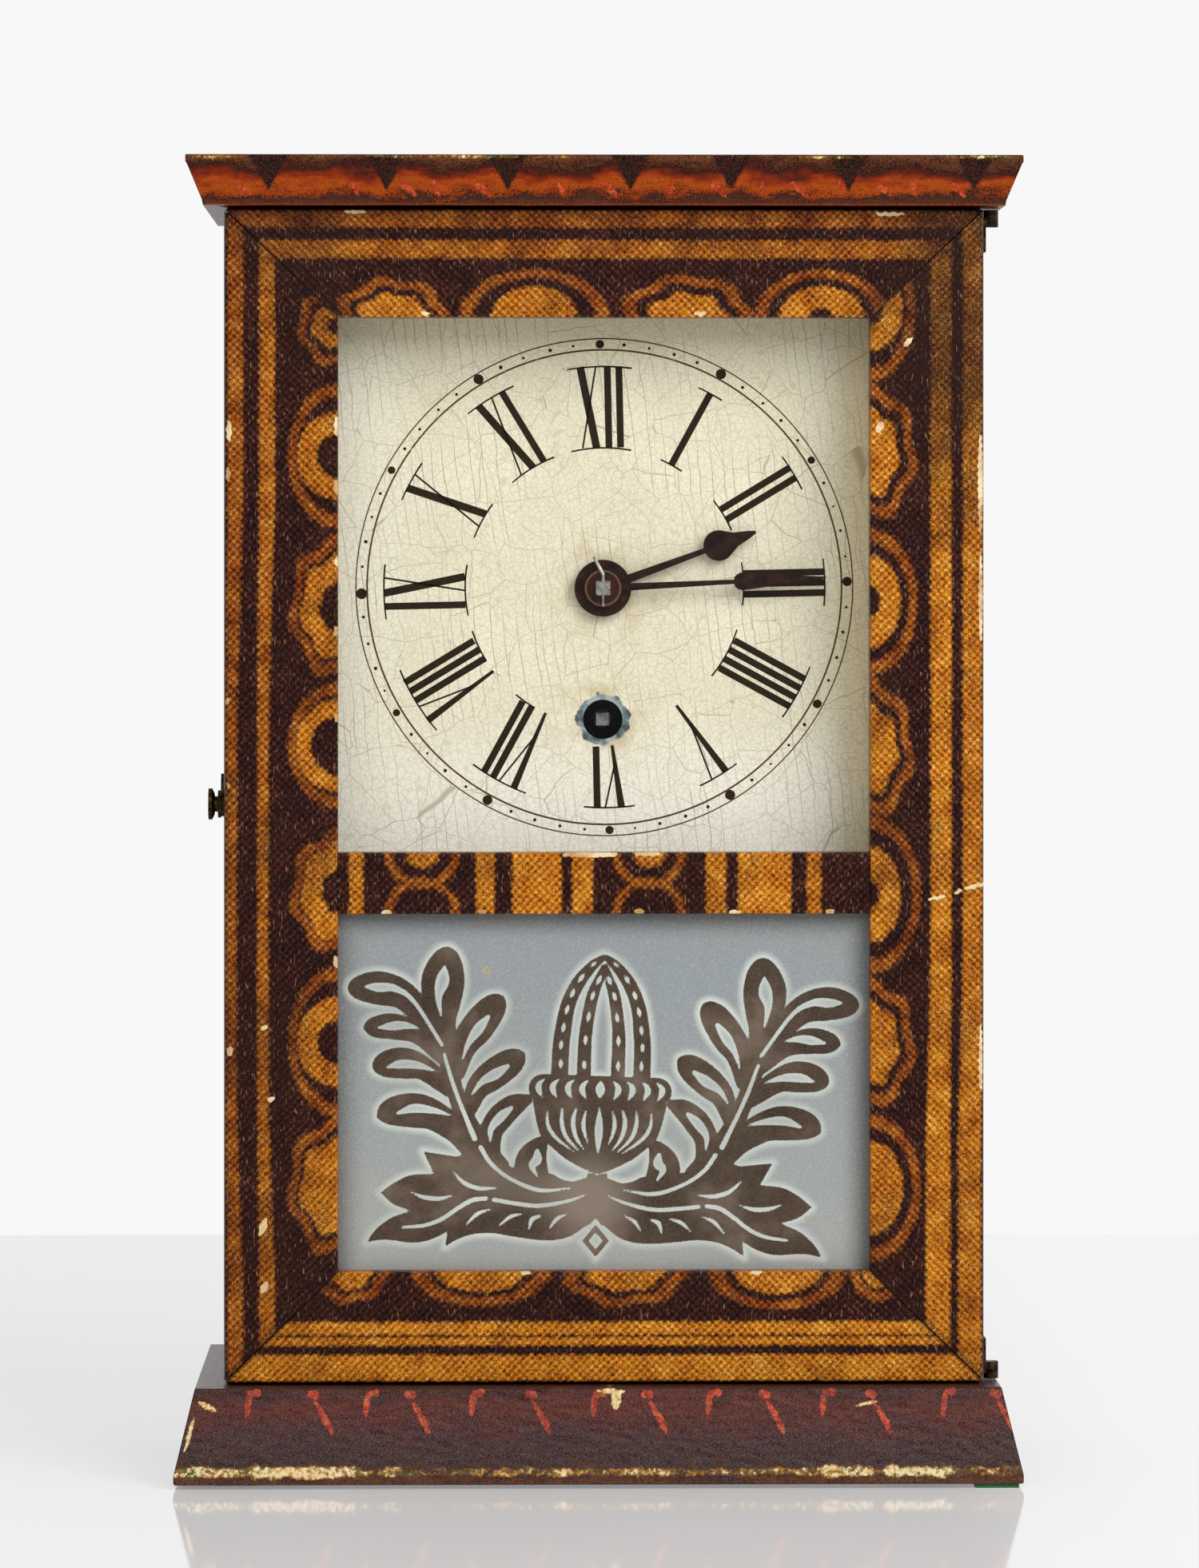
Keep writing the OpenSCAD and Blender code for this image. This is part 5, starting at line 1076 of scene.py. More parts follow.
def frosted_stencil(tree, frost, brown):
    """Ground glass with a stencilled ornament: chalky grain, pale bloom along each painted edge, and
    painted shade along the opening's edges.
    """
    spot = own_place(tree)
    depth = stored(tree, "ornament")
    rim = stored(tree, "rim")
    grain = noise(tree, spot, 0.45, 3.0, 0.7)
    cloud = noise(tree, spot, 22, 3.0)
    bloom = remap(tree, depth, -2.0, 0.1, smooth=True)
    bloom = maths(tree, "MULTIPLY", bloom, remap(tree, cloud, 0.35, 0.65, 0.35, 0.8))
    # painted shade: the frost darkens towards the edges of its opening
    rim_shade = remap(tree, rim, -2.0, 7.0, smooth=True)
    at = node(tree, "SeparateXYZ", {"Vector": spot})
    below = remap(tree, at.outputs["Z"], 48 * MM, 112 * MM)
    field = blend(tree, below, "#A6A8A2", frost)
    field = blend(tree, remap(tree, cloud, 0.35, 0.7, 0.0, 0.35), field, "#8B979D")
    field = blend(tree, rim_shade, "#6F706E", field)
    field = blend(tree, bloom, field, "#DCE2D8")
    speck = remap(tree, grain, 0.30, 0.70, -0.13, 0.17)
    field = blend(tree, speck, field, "#E9EFF0")
    marks = stored(tree, "marks")
    mark = remap(tree, marks, -0.15, 0.15, 0.0, 0.8)
    field = blend(tree, mark, field, "#B5A772")
    smoke = noise(tree, spot, 13, 5.0, 0.6)
    umber = tones(tree, smoke, [(0.32, "#2F241D"), (0.52, brown), (0.70, "#6F6154")])
    # a round patch of haze under the bowl and a slanting streak over the lower left leaf
    for x, z, stretch, reach, strength in ((-3, 65, 1.0, 14, 0.85), (-19, 68, 3.2, 8, 0.40)):
        hazy = node(tree, "Mapping", {
            "Vector": spot, "Location": (x * MM, GLASS_Y * MM, z * MM),
            "Rotation": (0, math.radians(12), 0), "Scale": (stretch, 1.0, 1.0)}, vector_type="TEXTURE")
        hazy = node(tree, "VectorMath", {0: hazy}, operation="LENGTH").outputs["Value"]
        hazy = remap(tree, hazy, 0.2 * reach * MM, reach * MM, strength, 0.0, smooth=True)
        umber = blend(tree, hazy, umber, "#8E8072")
    umber = blend(tree, remap(tree, grain, 0.40, 0.72, 0.0, 0.38), umber, "#7E6A50")
    shaken = times_plus(tree, grain, 0.55, depth)
    inside = remap(tree, shaken, 0.20, 0.38)
    surface = blend(tree, inside, field, umber)
    rough = remap(tree, inside, 0.0, 1.0, 0.55, 0.32)
    return principled(tree, surface, rough, bumps(tree, grain, 0.15, 0.03), gloss=0.35)


def ground_glass(tree):
    """Bare ground glass: even, chalky and matt."""
    spot = own_place(tree)
    grain = noise(tree, spot, 0.45, 3.0, 0.7)
    surface = tones(tree, grain, [(0.35, "#8E9799"), (0.65, "#B9C2C2")])
    return node(tree, "BsdfPrincipled", {
        "Base Color": surface, "Roughness": 0.6, "Specular IOR Level": 0.35})


def window_glass(tree):
    """Thin old window glass: clear, smooth, with a slow ripple in its reflections."""
    spot = own_place(tree)
    ripple = noise(tree, spot, 30, 1.0)
    bump = bumps(tree, ripple, 0.08, 0.3)
    glass = node(tree, "BsdfPrincipled", {
        "Base Color": "#FFFFFE", "Roughness": 0.02, "IOR": 1.5, "Transmission Weight": 1.0, "Normal": bump})
    clear = node(tree, "BsdfTransparent", {"Color": "#FFFFFE"})
    path = node(tree, "LightPath")
    lets_light_in = maths(tree, "MAXIMUM", path.outputs["Is Shadow Ray"], path.outputs["Is Diffuse Ray"])
    return node(tree, "MixShader", {0: lets_light_in, 1: glass, 2: clear})


def pine(tree, grain, raw, painted):
    """Sawn pine, browned by age: long grain, and on the case's outside dark, rubbed paint."""
    spot = own_place(tree)
    stretch = tuple(0.06 if axis == grain else 1.0 for axis in range(3))
    long = node(tree, "Mapping", {"Vector": spot, "Scale": stretch})
    rings = node(tree, "TexNoise", {"Vector": long, "Scale": per_mm(5), "Detail": 4.0, "Distortion": 0.6})
    fibre = noise(tree, long, 0.7, 3.0, 0.7)
    streaks = times_plus(tree, fibre, 0.35, rings)
    wood = tones(tree, streaks, [(0.45, raw[0]), (0.62, raw[1]), (0.72, raw[2]), (0.85, raw[1])])
    bump = bumps(tree, fibre, 0.35, 0.15)
    if not painted:
        return principled(tree, wood, 0.75, bump)
    at = node(tree, "SeparateXYZ", {"Vector": spot})
    aside = maths(tree, "ABSOLUTE", at.outputs["X"])
    outside = remap(tree, aside, (SIDE[1][0] - 0.5) * MM, (SIDE[1][0] - 0.3) * MM)
    on_top = remap(tree, at.outputs["Z"], (SIDE[1][2] - 0.5) * MM, (SIDE[1][2] - 0.3) * MM)
    in_front = remap(tree, at.outputs["Y"], (SIDE[0][1] + 0.3) * MM, (SIDE[0][1] + 0.5) * MM, 1.0, 0.0)
    covered = maths(tree, "MAXIMUM", outside, on_top)
    covered = maths(tree, "MAXIMUM", covered, in_front)
    cloudy = noise(tree, spot, 14, 6.0, 0.7)
    paint = tones(tree, cloudy, [(0.35, "#170C0A"), (0.55, "#2C1611"), (0.72, "#43241A")])
    scuffed = times_plus(tree, fibre, 0.5, cloudy)
    kept = remap(tree, scuffed, 0.90, 0.97, 1.0, 0.15)
    paint_there = maths(tree, "MULTIPLY", covered, kept)
    surface = blend(tree, paint_there, wood, paint)
    rough = remap(tree, paint_there, 0.0, 1.0, 0.75, 0.42)
    return principled(tree, surface, rough, bump)


def metal(tree, clean, tarnish, rough, spread, scratch, shade_point=None):
    """Worked metal with tarnish in clouds and fine scratches, and painted black shade round a given point.
    """
    spot = own_place(tree)
    cloud = noise(tree, spot, spread, 6.0, 0.65)
    lines = noise(tree, node(tree, "Mapping", {"Vector": spot, "Scale": (1.0, 1.0, 0.08)}), 0.5, 2.0)
    surface = tones(tree, cloud, [(0.38, tarnish), (0.62, clean)])
    roughness = remap(tree, cloud, 0.35, 0.65, min(1.0, rough + 0.2), rough)
    bump = bumps(tree, lines, scratch, 0.03)
    bright = 1.0
    # painted shade: black round the point, for the dark inside of the closed case seen through the dial's
    # hole
    if shade_point:
        away = distance(tree, spot, shade_point)
        bright = remap(tree, away, 6.5 * MM, 9.5 * MM)
        surface = blend(tree, bright, "#0C0A09", surface)
    return principled(tree, surface, roughness, bump, metallic=bright)


def blued_steel(tree):
    """Hands blued over a flame and gone plum-brown: a dark oxide skin with dust and a turned ring."""
    spot = own_place(tree)
    cloud = noise(tree, spot, 2.2, 5.0, 0.7)
    skin = tones(tree, cloud, [(0.35, "#1A0D09"), (0.55, "#301A12"), (0.75, "#4A2C20")])
    at = node(tree, "SeparateXYZ", {"Vector": spot})
    flat = node(tree, "CombineXYZ", {"X": at.outputs["X"], "Z": at.outputs["Z"]})
    away = distance(tree, flat, (0, 0, HANDS_Z * MM))
    off_ring = maths(tree, "SUBTRACT", away, 4.0 * MM)
    off_ring = maths(tree, "ABSOLUTE", off_ring)
    ring = remap(tree, off_ring, 0.10 * MM, 0.32 * MM, 0.6, 0.0)
    rust = remap(tree, away, 2.2 * MM, 4.0 * MM, 0.4, 0.0)
    surface = blend(tree, rust, skin, "#5A2A12")
    surface = blend(tree, ring, surface, "#8A6448")
    return principled(tree, surface, 0.36, bumps(tree, cloud, 0.25, 0.03), gloss=0.14, metallic=0.15)


def felt(tree):
    """Pressed wool felt: short fibres, no gloss, soft light at grazing angles."""
    spot = own_place(tree)
    wool = noise(tree, spot, 0.4, 4.0, 0.8)
    surface = tones(tree, wool, [(0.35, "#1B4A2C"), (0.65, "#3B7A4C")])
    bump = bumps(tree, wool, 0.6, 0.1)
    return node(tree, "BsdfPrincipled", {
        "Base Color": surface, "Roughness": 0.95, "Normal": bump, "Sheen Weight": 0.4})


# Colours of the print by how lively its paper is, which is brighter on the bead tops: painted light
BRIGHT_AMBER = [
    (0.42, "#5A2402"), (0.54, "#A65509"), (0.65, "#CE7C10"), (0.76, "#E09C2C"), (0.88, "#F4CE82"),
]
DEEP_AMBER = [(0.42, "#2C0C03"), (0.56, "#642504"), (0.68, "#8C3F0A"), (0.80, "#AE6420"), (0.90, "#D09A58")]
NEAR_BLACK = [(0.42, "#080304"), (0.58, "#1F0B0A"), (0.70, "#3B1610"), (0.82, "#56291A"), (0.92, "#866048")]
# Colours of the mouldings by share of their height
CORNICE_LEVELS = [
    (0.02, "#4A2A1E"), (0.16, "#2C1610"), (0.28, "#8E3604"), (0.42, "#B04C06"), (0.54, "#8C2606"),
    (0.66, "#3C1008"), (0.76, "#200E0E"), (0.86, "#4A2816"), (0.98, "#5A3420"),
]
PLINTH_LEVELS = [
    (0.03, "#5A3420"), (0.12, "#452718"), (0.22, "#342226"), (0.45, "#3E272A"), (0.62, "#482120"),
    (0.80, "#5C231B"), (0.95, "#3A1C1B"),
]

# Pine between its rings, in them and at their edge. The shaded colours are a darker copy of the raw ones,
# painted shade for the door's back and the wood that the case hides
RAW_PINE = ("#6E4A2A", "#8F653B", "#A97E4E")
SHADED_PINE = ("#4A3322", "#664A30", "#7D5E3E")


# Settings a user would change ------------------------------------------------------

class DoorSettings(PropertyGroup):
    pitch: FloatProperty(name="Bead pitch", description="Spacing of the pressed beads, in mm",
                         default=1.85)
    relief: FloatProperty(name="Bead height", description="Height of the pressed beads, in mm",
                          default=0.10)
    mesh_step: FloatProperty(name="Mesh step", description="Spacing of the printed mesh, in mm",
                             default=0.37)
    outer_round: FloatProperty(name="Outer rounding", description="Radius of the door's outer edge, in mm",
                               default=1.8)
    inner_round: FloatProperty(name="Inner rounding", description="Radius at the openings, in mm",
                               default=0.4)


class MouldingSettings(PropertyGroup):
    mesh_step: FloatProperty(name="Mesh step", description="Spacing of the painted mesh, in mm",
                             default=0.5)
    cornice_slope: FloatProperty(name="Cornice slope", description="How far its face leans out, in mm",
                                 default=3.9)
    cornice_top_lip: FloatProperty(name="Top lip", description="Height of the cornice's top lip, in mm",
                                   default=2.0)
    cornice_low_lip: FloatProperty(name="Low lip", description="Height of the cornice's low lip, in mm",
                                   default=1.2)
    plinth_slope: FloatProperty(name="Plinth slope", description="How far its face leans in, in mm",
                                default=4.7)
    plinth_lip: FloatProperty(name="Plinth lip", description="Height of the plinth's upright foot, in mm",
                              default=2.0)


class DialSettings(PropertyGroup):
    outer_ring: FloatProperty(name="Outer ring", description="Radius of the outer minute line, in mm",
                              default=57.8)
    inner_ring: FloatProperty(name="Inner ring", description="Radius of the inner minute line, in mm",
                              default=55.2)
    numeral_top: FloatProperty(name="Numeral top", description="Radius at the numerals' heads, in mm",
                               default=51.3)
    numeral_foot: FloatProperty(name="Numeral foot", description="Radius at the numerals' feet, in mm",
                                default=32.4)
    hole_gap: FloatProperty(
        name="Hole gap", description="How much the VI is shortened below the winding hole, in mm",
        default=4.6)
    thick: FloatProperty(name="Thick stroke", description="Width of a numeral's thick strokes, in mm",
                         default=1.6)
    thin: FloatProperty(name="Thin stroke", description="Width of a numeral's thin strokes, in mm",
                        default=0.42)
    gap: FloatProperty(name="Stroke spacing", description="Spacing of neighbouring strokes, in mm",
                       default=2.7)
    close_gap: FloatProperty(
        name="Close spacing", description="Spacing where a numeral has four strokes, in mm", default=2.42)
    drift: FloatProperty(name="Drift", description="How far round the hand-painted ring sits",
                         default=math.radians(-1.3), subtype="ANGLE")
    aside: FloatProperty(name="Ring aside", description="How far right of the hands the ring sits, in mm",
                         default=0.4)
    above: FloatProperty(name="Ring above", description="How far above the hands the ring sits, in mm",
                         default=0.25)
    skin: FloatProperty(name="Ink thickness", description="Thickness of the painted ink, in mm",
                        default=0.02)


class TabletSettings(PropertyGroup):
    mesh_step: FloatProperty(name="Mesh step", description="Spacing of the stencilled mesh, in mm",
                             default=0.45)
    frost: FloatVectorProperty(name="Frost", description="Colour of the ground glass",
                               subtype="COLOR", size=4, default=colour("#909596"))
    brown: FloatVectorProperty(name="Brown", description="Colour of the ornament",
                               subtype="COLOR", size=4, default=colour("#48392E"))


class StudioSettings(PropertyGroup):
    distance: FloatProperty(name="Distance", description="From the lens to the door, in mm",
                            default=1650)
    eye: FloatProperty(name="Eye height", description="Height of the lens above the surface, in mm",
                       default=204.75)
    aside: FloatProperty(name="Aside", description="How far left of the middle the lens stands, in mm",
                         default=28.8)
    yaw: FloatProperty(name="Yaw", description="Turn of the camera to the right", default=math.radians(1.0),
                       subtype="ANGLE")
    lens: FloatProperty(name="Lens", description="Focal length on a 36 mm high sensor", default=164.8)
    key: FloatProperty(name="Key light", description="Power of the key light, in watts", default=25.0)
    fill: FloatProperty(name="Fill light", description="Power of the light over the camera, in watts",
                        default=12.0)
    sky: FloatProperty(name="Sky", description="Strength of the light from all round", default=0.46)


SETTINGS = {
    "clock_door": DoorSettings,
    "clock_mouldings": MouldingSettings,
    "clock_dial": DialSettings,
    "clock_tablet": TabletSettings,
    "clock_studio": StudioSettings,
}


# Operators -----------------------------------------------------------------------

COARSE_STEP = 2.2  # spacing of the mesh where nothing is printed


def door_members(settings):
    """CAD node, section, ends and placing of each member of the door frame."""
    r, e, g = settings.outer_round, settings.inner_round, SEAM / 2
    fine, coarse = settings.mesh_step, COARSE_STEP
    stile_w, top_w, bottom_w = DOOR_X - OPEN_X, DOOR_Z1 - OPEN_Z1, OPEN_Z0 - DOOR_Z0

    def framed(width, outer):
        """Section with the outer edge at 0, the opening at width and a rebate for the pane."""
        inner = [(width - e, DOOR_Y, e / 2), (width - e * 0.3, DOOR_Y + e * 0.3, e / 2)]
        rest = [(width, DOOR_Y + e, coarse), (width, GLASS_Y, coarse), (width - REBATE, GLASS_Y, coarse),
                (width - REBATE, DOOR_BACK, coarse * 2)]
        return [(0, DOOR_BACK, coarse)] + outer + inner + rest

    def stile(name, place):
        rounded = quarter_turn(r, DOOR_Y + r, r, 180, fine)[1:-1]
        section = framed(stile_w, [(0, DOOR_Y + r, fine)] + rounded + [(r, DOOR_Y, fine)])
        return (name, section, lambda u: DOOR_Z0 + g + u * (bottom_w - g) / stile_w,
                lambda u: DOOR_Z1 - g - u * (top_w - g) / stile_w, place)

    def rail(name, width, place):
        section = framed(width, [(0, DOOR_Y + 0.25, 0.2), (0.25, DOOR_Y, fine)])
        return (name, section, lambda u: -DOOR_X + 2 * g + u * (stile_w - g) / width,
                lambda u: DOOR_X - 2 * g - u * (stile_w - g) / width, place)

    height, gap = MIDDLE_Z1 - MIDDLE_Z0, 0.05
    middle = [
        (0, GLASS_Y, coarse), (0, DOOR_Y + e, e / 2), (e * 0.3, DOOR_Y + e * 0.3, e / 2), (e, DOOR_Y, fine),
        (height - e, DOOR_Y, e / 2), (height - e * 0.3, DOOR_Y + e * 0.3, e / 2),
        (height, DOOR_Y + e, coarse), (height, GLASS_Y, coarse), (height - REBATE, GLASS_Y, coarse),
        (height - REBATE, DOOR_BACK, coarse), (REBATE, DOOR_BACK, coarse), (REBATE, GLASS_Y, coarse),
    ]
    return {
        "left": stile("door_left_stile", lambda u, d, s: (u - DOOR_X, d, s)),
        "right": stile("door_right_stile", lambda u, d, s: (DOOR_X - u, d, s)),
        "top": rail("door_top_rail", top_w, lambda u, d, s: (s, d, DOOR_Z1 - u)),
        "bottom": rail("door_bottom_rail", bottom_w, lambda u, d, s: (s, d, DOOR_Z0 + u)),
        "middle": ("door_middle_rail", middle, lambda u: -OPEN_X + gap + 0 * u,
                   lambda u: OPEN_X - gap + 0 * u, lambda u, d, s: (s, d, MIDDLE_Z0 + u)),
    }


def bare_back(at, facing):
    """The faces of a door member that no paper covers: its back and its rebates."""
    inside = (np.abs(at[:, 0]) < DOOR_X - 0.5) & (at[:, 2] > DOOR_Z0 + 0.5) & (at[:, 2] < DOOR_Z1 - 0.5)
    return (at[:, 1] > GLASS_Y - 0.1) & (facing[:, 1] > FACES_BACK) | (at[:, 1] > GLASS_Y + 0.1) & inside


class CLOCK_OT_door_frame(Operator):
    """Cover the door's stiles and rails with embossed printed paper"""
    bl_idname = "clock.door_frame"
    bl_label = "Door frame"

    def execute(self, context):
        settings = context.scene.clock_door
        paper = material("varnished_printed_paper", embossed_paper, BRIGHT_AMBER, DEEP_AMBER, NEAR_BLACK)
        # the door's back gets the darker pine, painted shade
        back = material("planed_pine_door_back", pine, 2, SHADED_PINE, False)

        def relief(place):
            def height(across, depth, along):
                x, _, z = place(across, depth, along)
                lumps = 0.05 * unevenness(x, z, 9, 2)
                bead = settings.relief * beads(x, z, settings.pitch)
                return fading(depth, DOOR_Y, 0.5) * (bead + lumps - settings.relief)
            return height

        for member, (name, section, start, stop, place) in door_members(settings).items():
            piece = moulding(
                "printed_" + name, section, settings.mesh_step, start, stop, place, relief(place))
            print_attributes(piece, member, settings.pitch)
            finish_piece(piece, "door", [paper, back], [name])
            second_look(piece, bare_back)
        return {"FINISHED"}


def cornice_profile(settings, low, high, thick, limit):
    """Section of the cornice, its top edge at 0 and its face leaning in towards its foot."""
    step, slope = settings.mesh_step, settings.cornice_slope
    top, foot = settings.cornice_top_lip, settings.cornice_low_lip
    return slope, [
        (thick, low, 3), (limit, low, 3), (slope, low, step), (slope * 0.94, low + foot, step),
        (slope * 0.08, high - top, step), (0, high - top * 0.8, step), (0, high - 0.2, 0.3),
        (0.2, high, 3), (limit, high, 3), (thick, high, 3),
    ]


def plinth_profile(settings, low, high, thick, _):
    """Section of the plinth, its foot at 0 and its face leaning in towards its top."""
    step, slope, foot = settings.mesh_step, settings.plinth_slope, settings.plinth_lip
    return slope, [
        (thick, low, 3), (0.3, low, 0.3), (0, low + 0.3, step), (0, low + foot, step),
        (slope, high - 0.2, 0.3), (slope + 0.25, high, 3), (thick, high, 3),
    ]


def dent_front(piece, face, front):
    """Presses shallow dents into a moulding's face, which reaches back to face from the front."""
    at = places(piece.data)
    dents = 0.12 * fading(at[:, 1] - front, face, 0.3) * unevenness(at[:, 0], at[:, 2] * 2, 7, 7)
    at[:, 1] += np.abs(dents)
    set_places(piece.data, at)


class CLOCK_OT_mouldings(Operator):
    """Paint the cornice and the plinth with brushed flecks"""
    bl_idname = "clock.mouldings"
    bl_label = "Cornice and plinth"

    def execute(self, context):
        settings = context.scene.clock_mouldings
        cornice_look = material(
            "brushed_cornice_paper", brushed_moulding, CORNICE_LEVELS, 0.45, "#8C3E10", 1.0, 0.1)
        plinth_look = material(
            "brushed_plinth_paper", brushed_moulding, PLINTH_LEVELS, 0.6, "#866455", 0.85, 0.2)
        step, g = settings.mesh_step, SEAM / 2
        for look, section, brushwork, front, sides in (
            (cornice_look, cornice_profile, cornice_brushwork, "cornice_front",
             ("cornice_left", "cornice_right")),
            (plinth_look, plinth_profile, plinth_brushwork, "base_front", ("base_left", "base_right")),
        ):
            low, high = corners(front)
            (left_x, _, _), (left_inner, _, _) = corners(sides[0])
            right_x, back_y, _ = corners(sides[1])[1]
            limit = left_inner - left_x
            slope, profile = section(settings, low[2], high[2], high[1] - low[1], limit)

            # across runs inwards from the foot or top edge, depth is the height
            piece = moulding(
                "painted_" + front, profile, step, lambda u: left_x + g + np.minimum(u, limit),
                lambda u: right_x - g - np.minimum(u, limit), lambda u, d, s: (s, low[1] + u, d))
            dent_front(piece, slope + 0.2, low[1])
            moulding_print(piece, brushwork, lambda at: at[:, 0], low[2], high[2])
            finish_piece(piece, "case", [look], [front])
            for name, edge, sign in zip(sides, (left_x, right_x), (-1, 1)):
                side_profile = [(min(a, limit), d, s) for a, d, s in profile]
                piece = moulding(
                    "painted_" + name, side_profile, step, lambda u: low[1] + 2 * g + u,
                    lambda u: back_y + 0 * u, lambda u, d, s, e=edge, k=sign: (e - k * u, s, d))
                moulding_print(
                    piece, brushwork, lambda at, k=sign: k * (SIDE_RUN + at[:, 1]), low[2], high[2])
                finish_piece(piece, "case", [look], [name])
        return {"FINISHED"}


OUTER_LINE, INNER_LINE = 0.30, 0.42  # widths of the two minute lines
PAINT_GAP = 0.004  # how far the ink's back stays off the enamel


class CLOCK_OT_dial(Operator):
    """Paint the dial with cracked cream enamel, minute rings and Roman numerals"""
    bl_idname = "clock.dial"
    bl_label = "Dial"

    def execute(self, context):
        settings = context.scene.clock_dial
        dress(frame["nodes"]["dial_plate"], material("crazed_cream_enamel", crazed_enamel))
        black = material("black_numeral_ink", old_ink, "#2A1E0F", "#A79C84", 0.8, 0.67)
        brown = material("brown_line_ink", old_ink, "#5B3D1C", "#B49C66", 1.6, 0.62)
        drift = math.degrees(settings.drift)
        centre = (settings.aside, settings.above)

        face = DIAL_FACE - PAINT_GAP
        strokes = []
        for hour, word in enumerate(NUMERALS):
            gap = settings.close_gap if len(word) > 2 and word != "XII" else settings.gap
            foot = settings.numeral_foot + (settings.hole_gap if word == "VI" else 0)
            strokes += numeral(
                word, hour * 30 + drift, settings.numeral_top, foot, settings.thick, settings.thin, gap)
        piece = inked("dial_numerals", strokes, centre, face, settings.skin)
        finish_piece(piece, "case", [black], angle=20)

        outer = ribbon(arc(settings.outer_ring, 0, 360, 240), OUTER_LINE)
        inner = ribbon(arc(settings.inner_ring, 0, 360, 240), INNER_LINE)
        piece = inked("dial_minute_lines", [outer, inner], centre, face, settings.skin)
        finish_piece(piece, "case", [brown], angle=20)

        dots = minute_dots((settings.outer_ring + settings.inner_ring) / 2, drift)
        piece = inked("dial_minute_dots", dots, centre, face, settings.skin)
        finish_piece(piece, "case", [black], angle=20)
        return {"FINISHED"}


def fine_faced_pane(name, low, high, step):
    """A pane from corner low to corner high, with a fine grid on its front and one face behind."""
    columns, rows = (math.ceil((high[i] - low[i]) / step) for i in (0, 2))
    piece, column, row = grid(name, columns, rows)
    x = low[0] + (high[0] - low[0]) * column / columns
    z = low[2] + (high[2] - low[2]) * row / rows
    set_places(piece.data, np.stack([x, np.full(x.shape, low[1]), z], axis=1))
    thickness = (high[1] - low[1]) * MM
    with editing(piece):
        bpy.ops.mesh.select_mode(type="EDGE")
        bpy.ops.mesh.select_all(action="DESELECT")
        bpy.ops.mesh.select_non_manifold(extend=False)
        bpy.ops.mesh.extrude_edges_move(TRANSFORM_OT_translate={"value": (0, thickness, 0)})
        bpy.ops.mesh.edge_face_add()
        bpy.ops.mesh.select_all(action="SELECT")
        bpy.ops.mesh.normals_make_consistent(inside=False)
        bpy.ops.mesh.select_mode(type="VERT")
    return piece


class CLOCK_OT_panes(Operator):
    """Glaze the door with clear glass above and a stencilled frosted tablet below"""
    bl_idname = "clock.panes"
    bl_label = "Panes"

    def execute(self, context):
        settings = context.scene.clock_tablet
        dress(frame["nodes"]["dial_glass"], material("clear_window_glass", window_glass))

        piece = fine_faced_pane("stencilled_tablet", *PANE, settings.mesh_step)
        at = places(piece.data)
        x, z = at[:, 0], at[:, 2]
        set_attribute(piece.data, "ornament", np.clip(ornament(x, z), -6, 6))
        # distance to the opening's edges, along which the frost is given painted shade
        rim = np.minimum(OPEN_X - np.abs(x), np.minimum(z - OPEN_Z0 + 4, MIDDLE_Z0 - z))
        set_attribute(piece.data, "rim", rim)
        marks = np.full(x.shape, -FAR)
        for cx, cz, size in SPOTS:
            away = np.hypot(x - cx, z - cz)
            marks = np.maximum(marks, into_band(away, size * 0.45, size) if size > 0.9 else size - away)
        set_attribute(piece.data, "marks", marks)
        look = material(
            "stencilled_ground_glass", frosted_stencil, list(settings.frost), list(settings.brown))
        back = material("bare_ground_glass", ground_glass)
        finish_piece(piece, "door", [look, back], ["tablet_glass"])
        second_look(piece, lambda at, facing: facing[:, 1] > FACES_BACK)
        return {"FINISHED"}


# Pine nodes whose grain runs sideways, and those that the case hides, which are unpainted
LEVEL_BOARDS = ("case_top_board", "case_bottom_board")
INNER_WOOD = ("glazing_beads", "dial_strips", "movement_blocks", "glue_blocks")


class CLOCK_OT_case_and_movement(Operator):
    """Give the boards, metals and felt of the case and movement their finishes"""
    bl_idname = "clock.case_and_movement"
    bl_label = "Case and movement"

    def execute(self, context):
        upright = material("painted_pine_upright", pine, 2, RAW_PINE, True)
        level = material("painted_pine_level", pine, 0, RAW_PINE, True)
        # the wood that the case hides gets the darker pine, painted shade
        bare = material("raw_pine", pine, 2, SHADED_PINE, False)
        finishes = {
            "blued_steel": material("plum_blued_steel", blued_steel),
            "bright_wire": material("drawn_bright_wire", metal, "#D9D9D6", "#8E8C88", 0.25, 2.0, 0.1),
            "steel": material("turned_steel", metal, "#A5A5A6", "#5C5753", 0.32, 3.0, 0.25),
            "sheet_brass": material("rolled_sheet_brass", metal, "#B99653", "#6E5229", 0.30, 9.0, 0.2),
            "old_brass": material("tarnished_brass", metal, "#5A462C", "#1D1612", 0.45, 1.6, 0.3),
            "green_felt": material("pressed_wool_felt", felt),
        }
        plate_y = corners("front_plate")[1][1]
        named = {
            "minute_pinion": material("filed_steel_square", metal, "#C4C4C2", "#77726C", 0.30, 1.2, 0.35),
            # the front plate is painted black round the winding arbor: painted shade seen through the
            # dial's winding hole
            "front_plate": material("sheet_brass_shaded_round_hole", metal, "#B99653", "#6E5229", 0.30, 9.0, 0.2,
                                    (0, plate_y * MM, WINDING_Z * MM)),
        }
        for part in frame["record"]["subparts"]:
            name, slot = part["node"], part["material_slot"]
            look = finishes.get(slot)
            if slot == "pine":
                look = level if name in LEVEL_BOARDS else bare if name in INNER_WOOD else upright
            look = named.get(name, look)
            if look:
                dress(frame["nodes"][name], look)
        return {"FINISHED"}


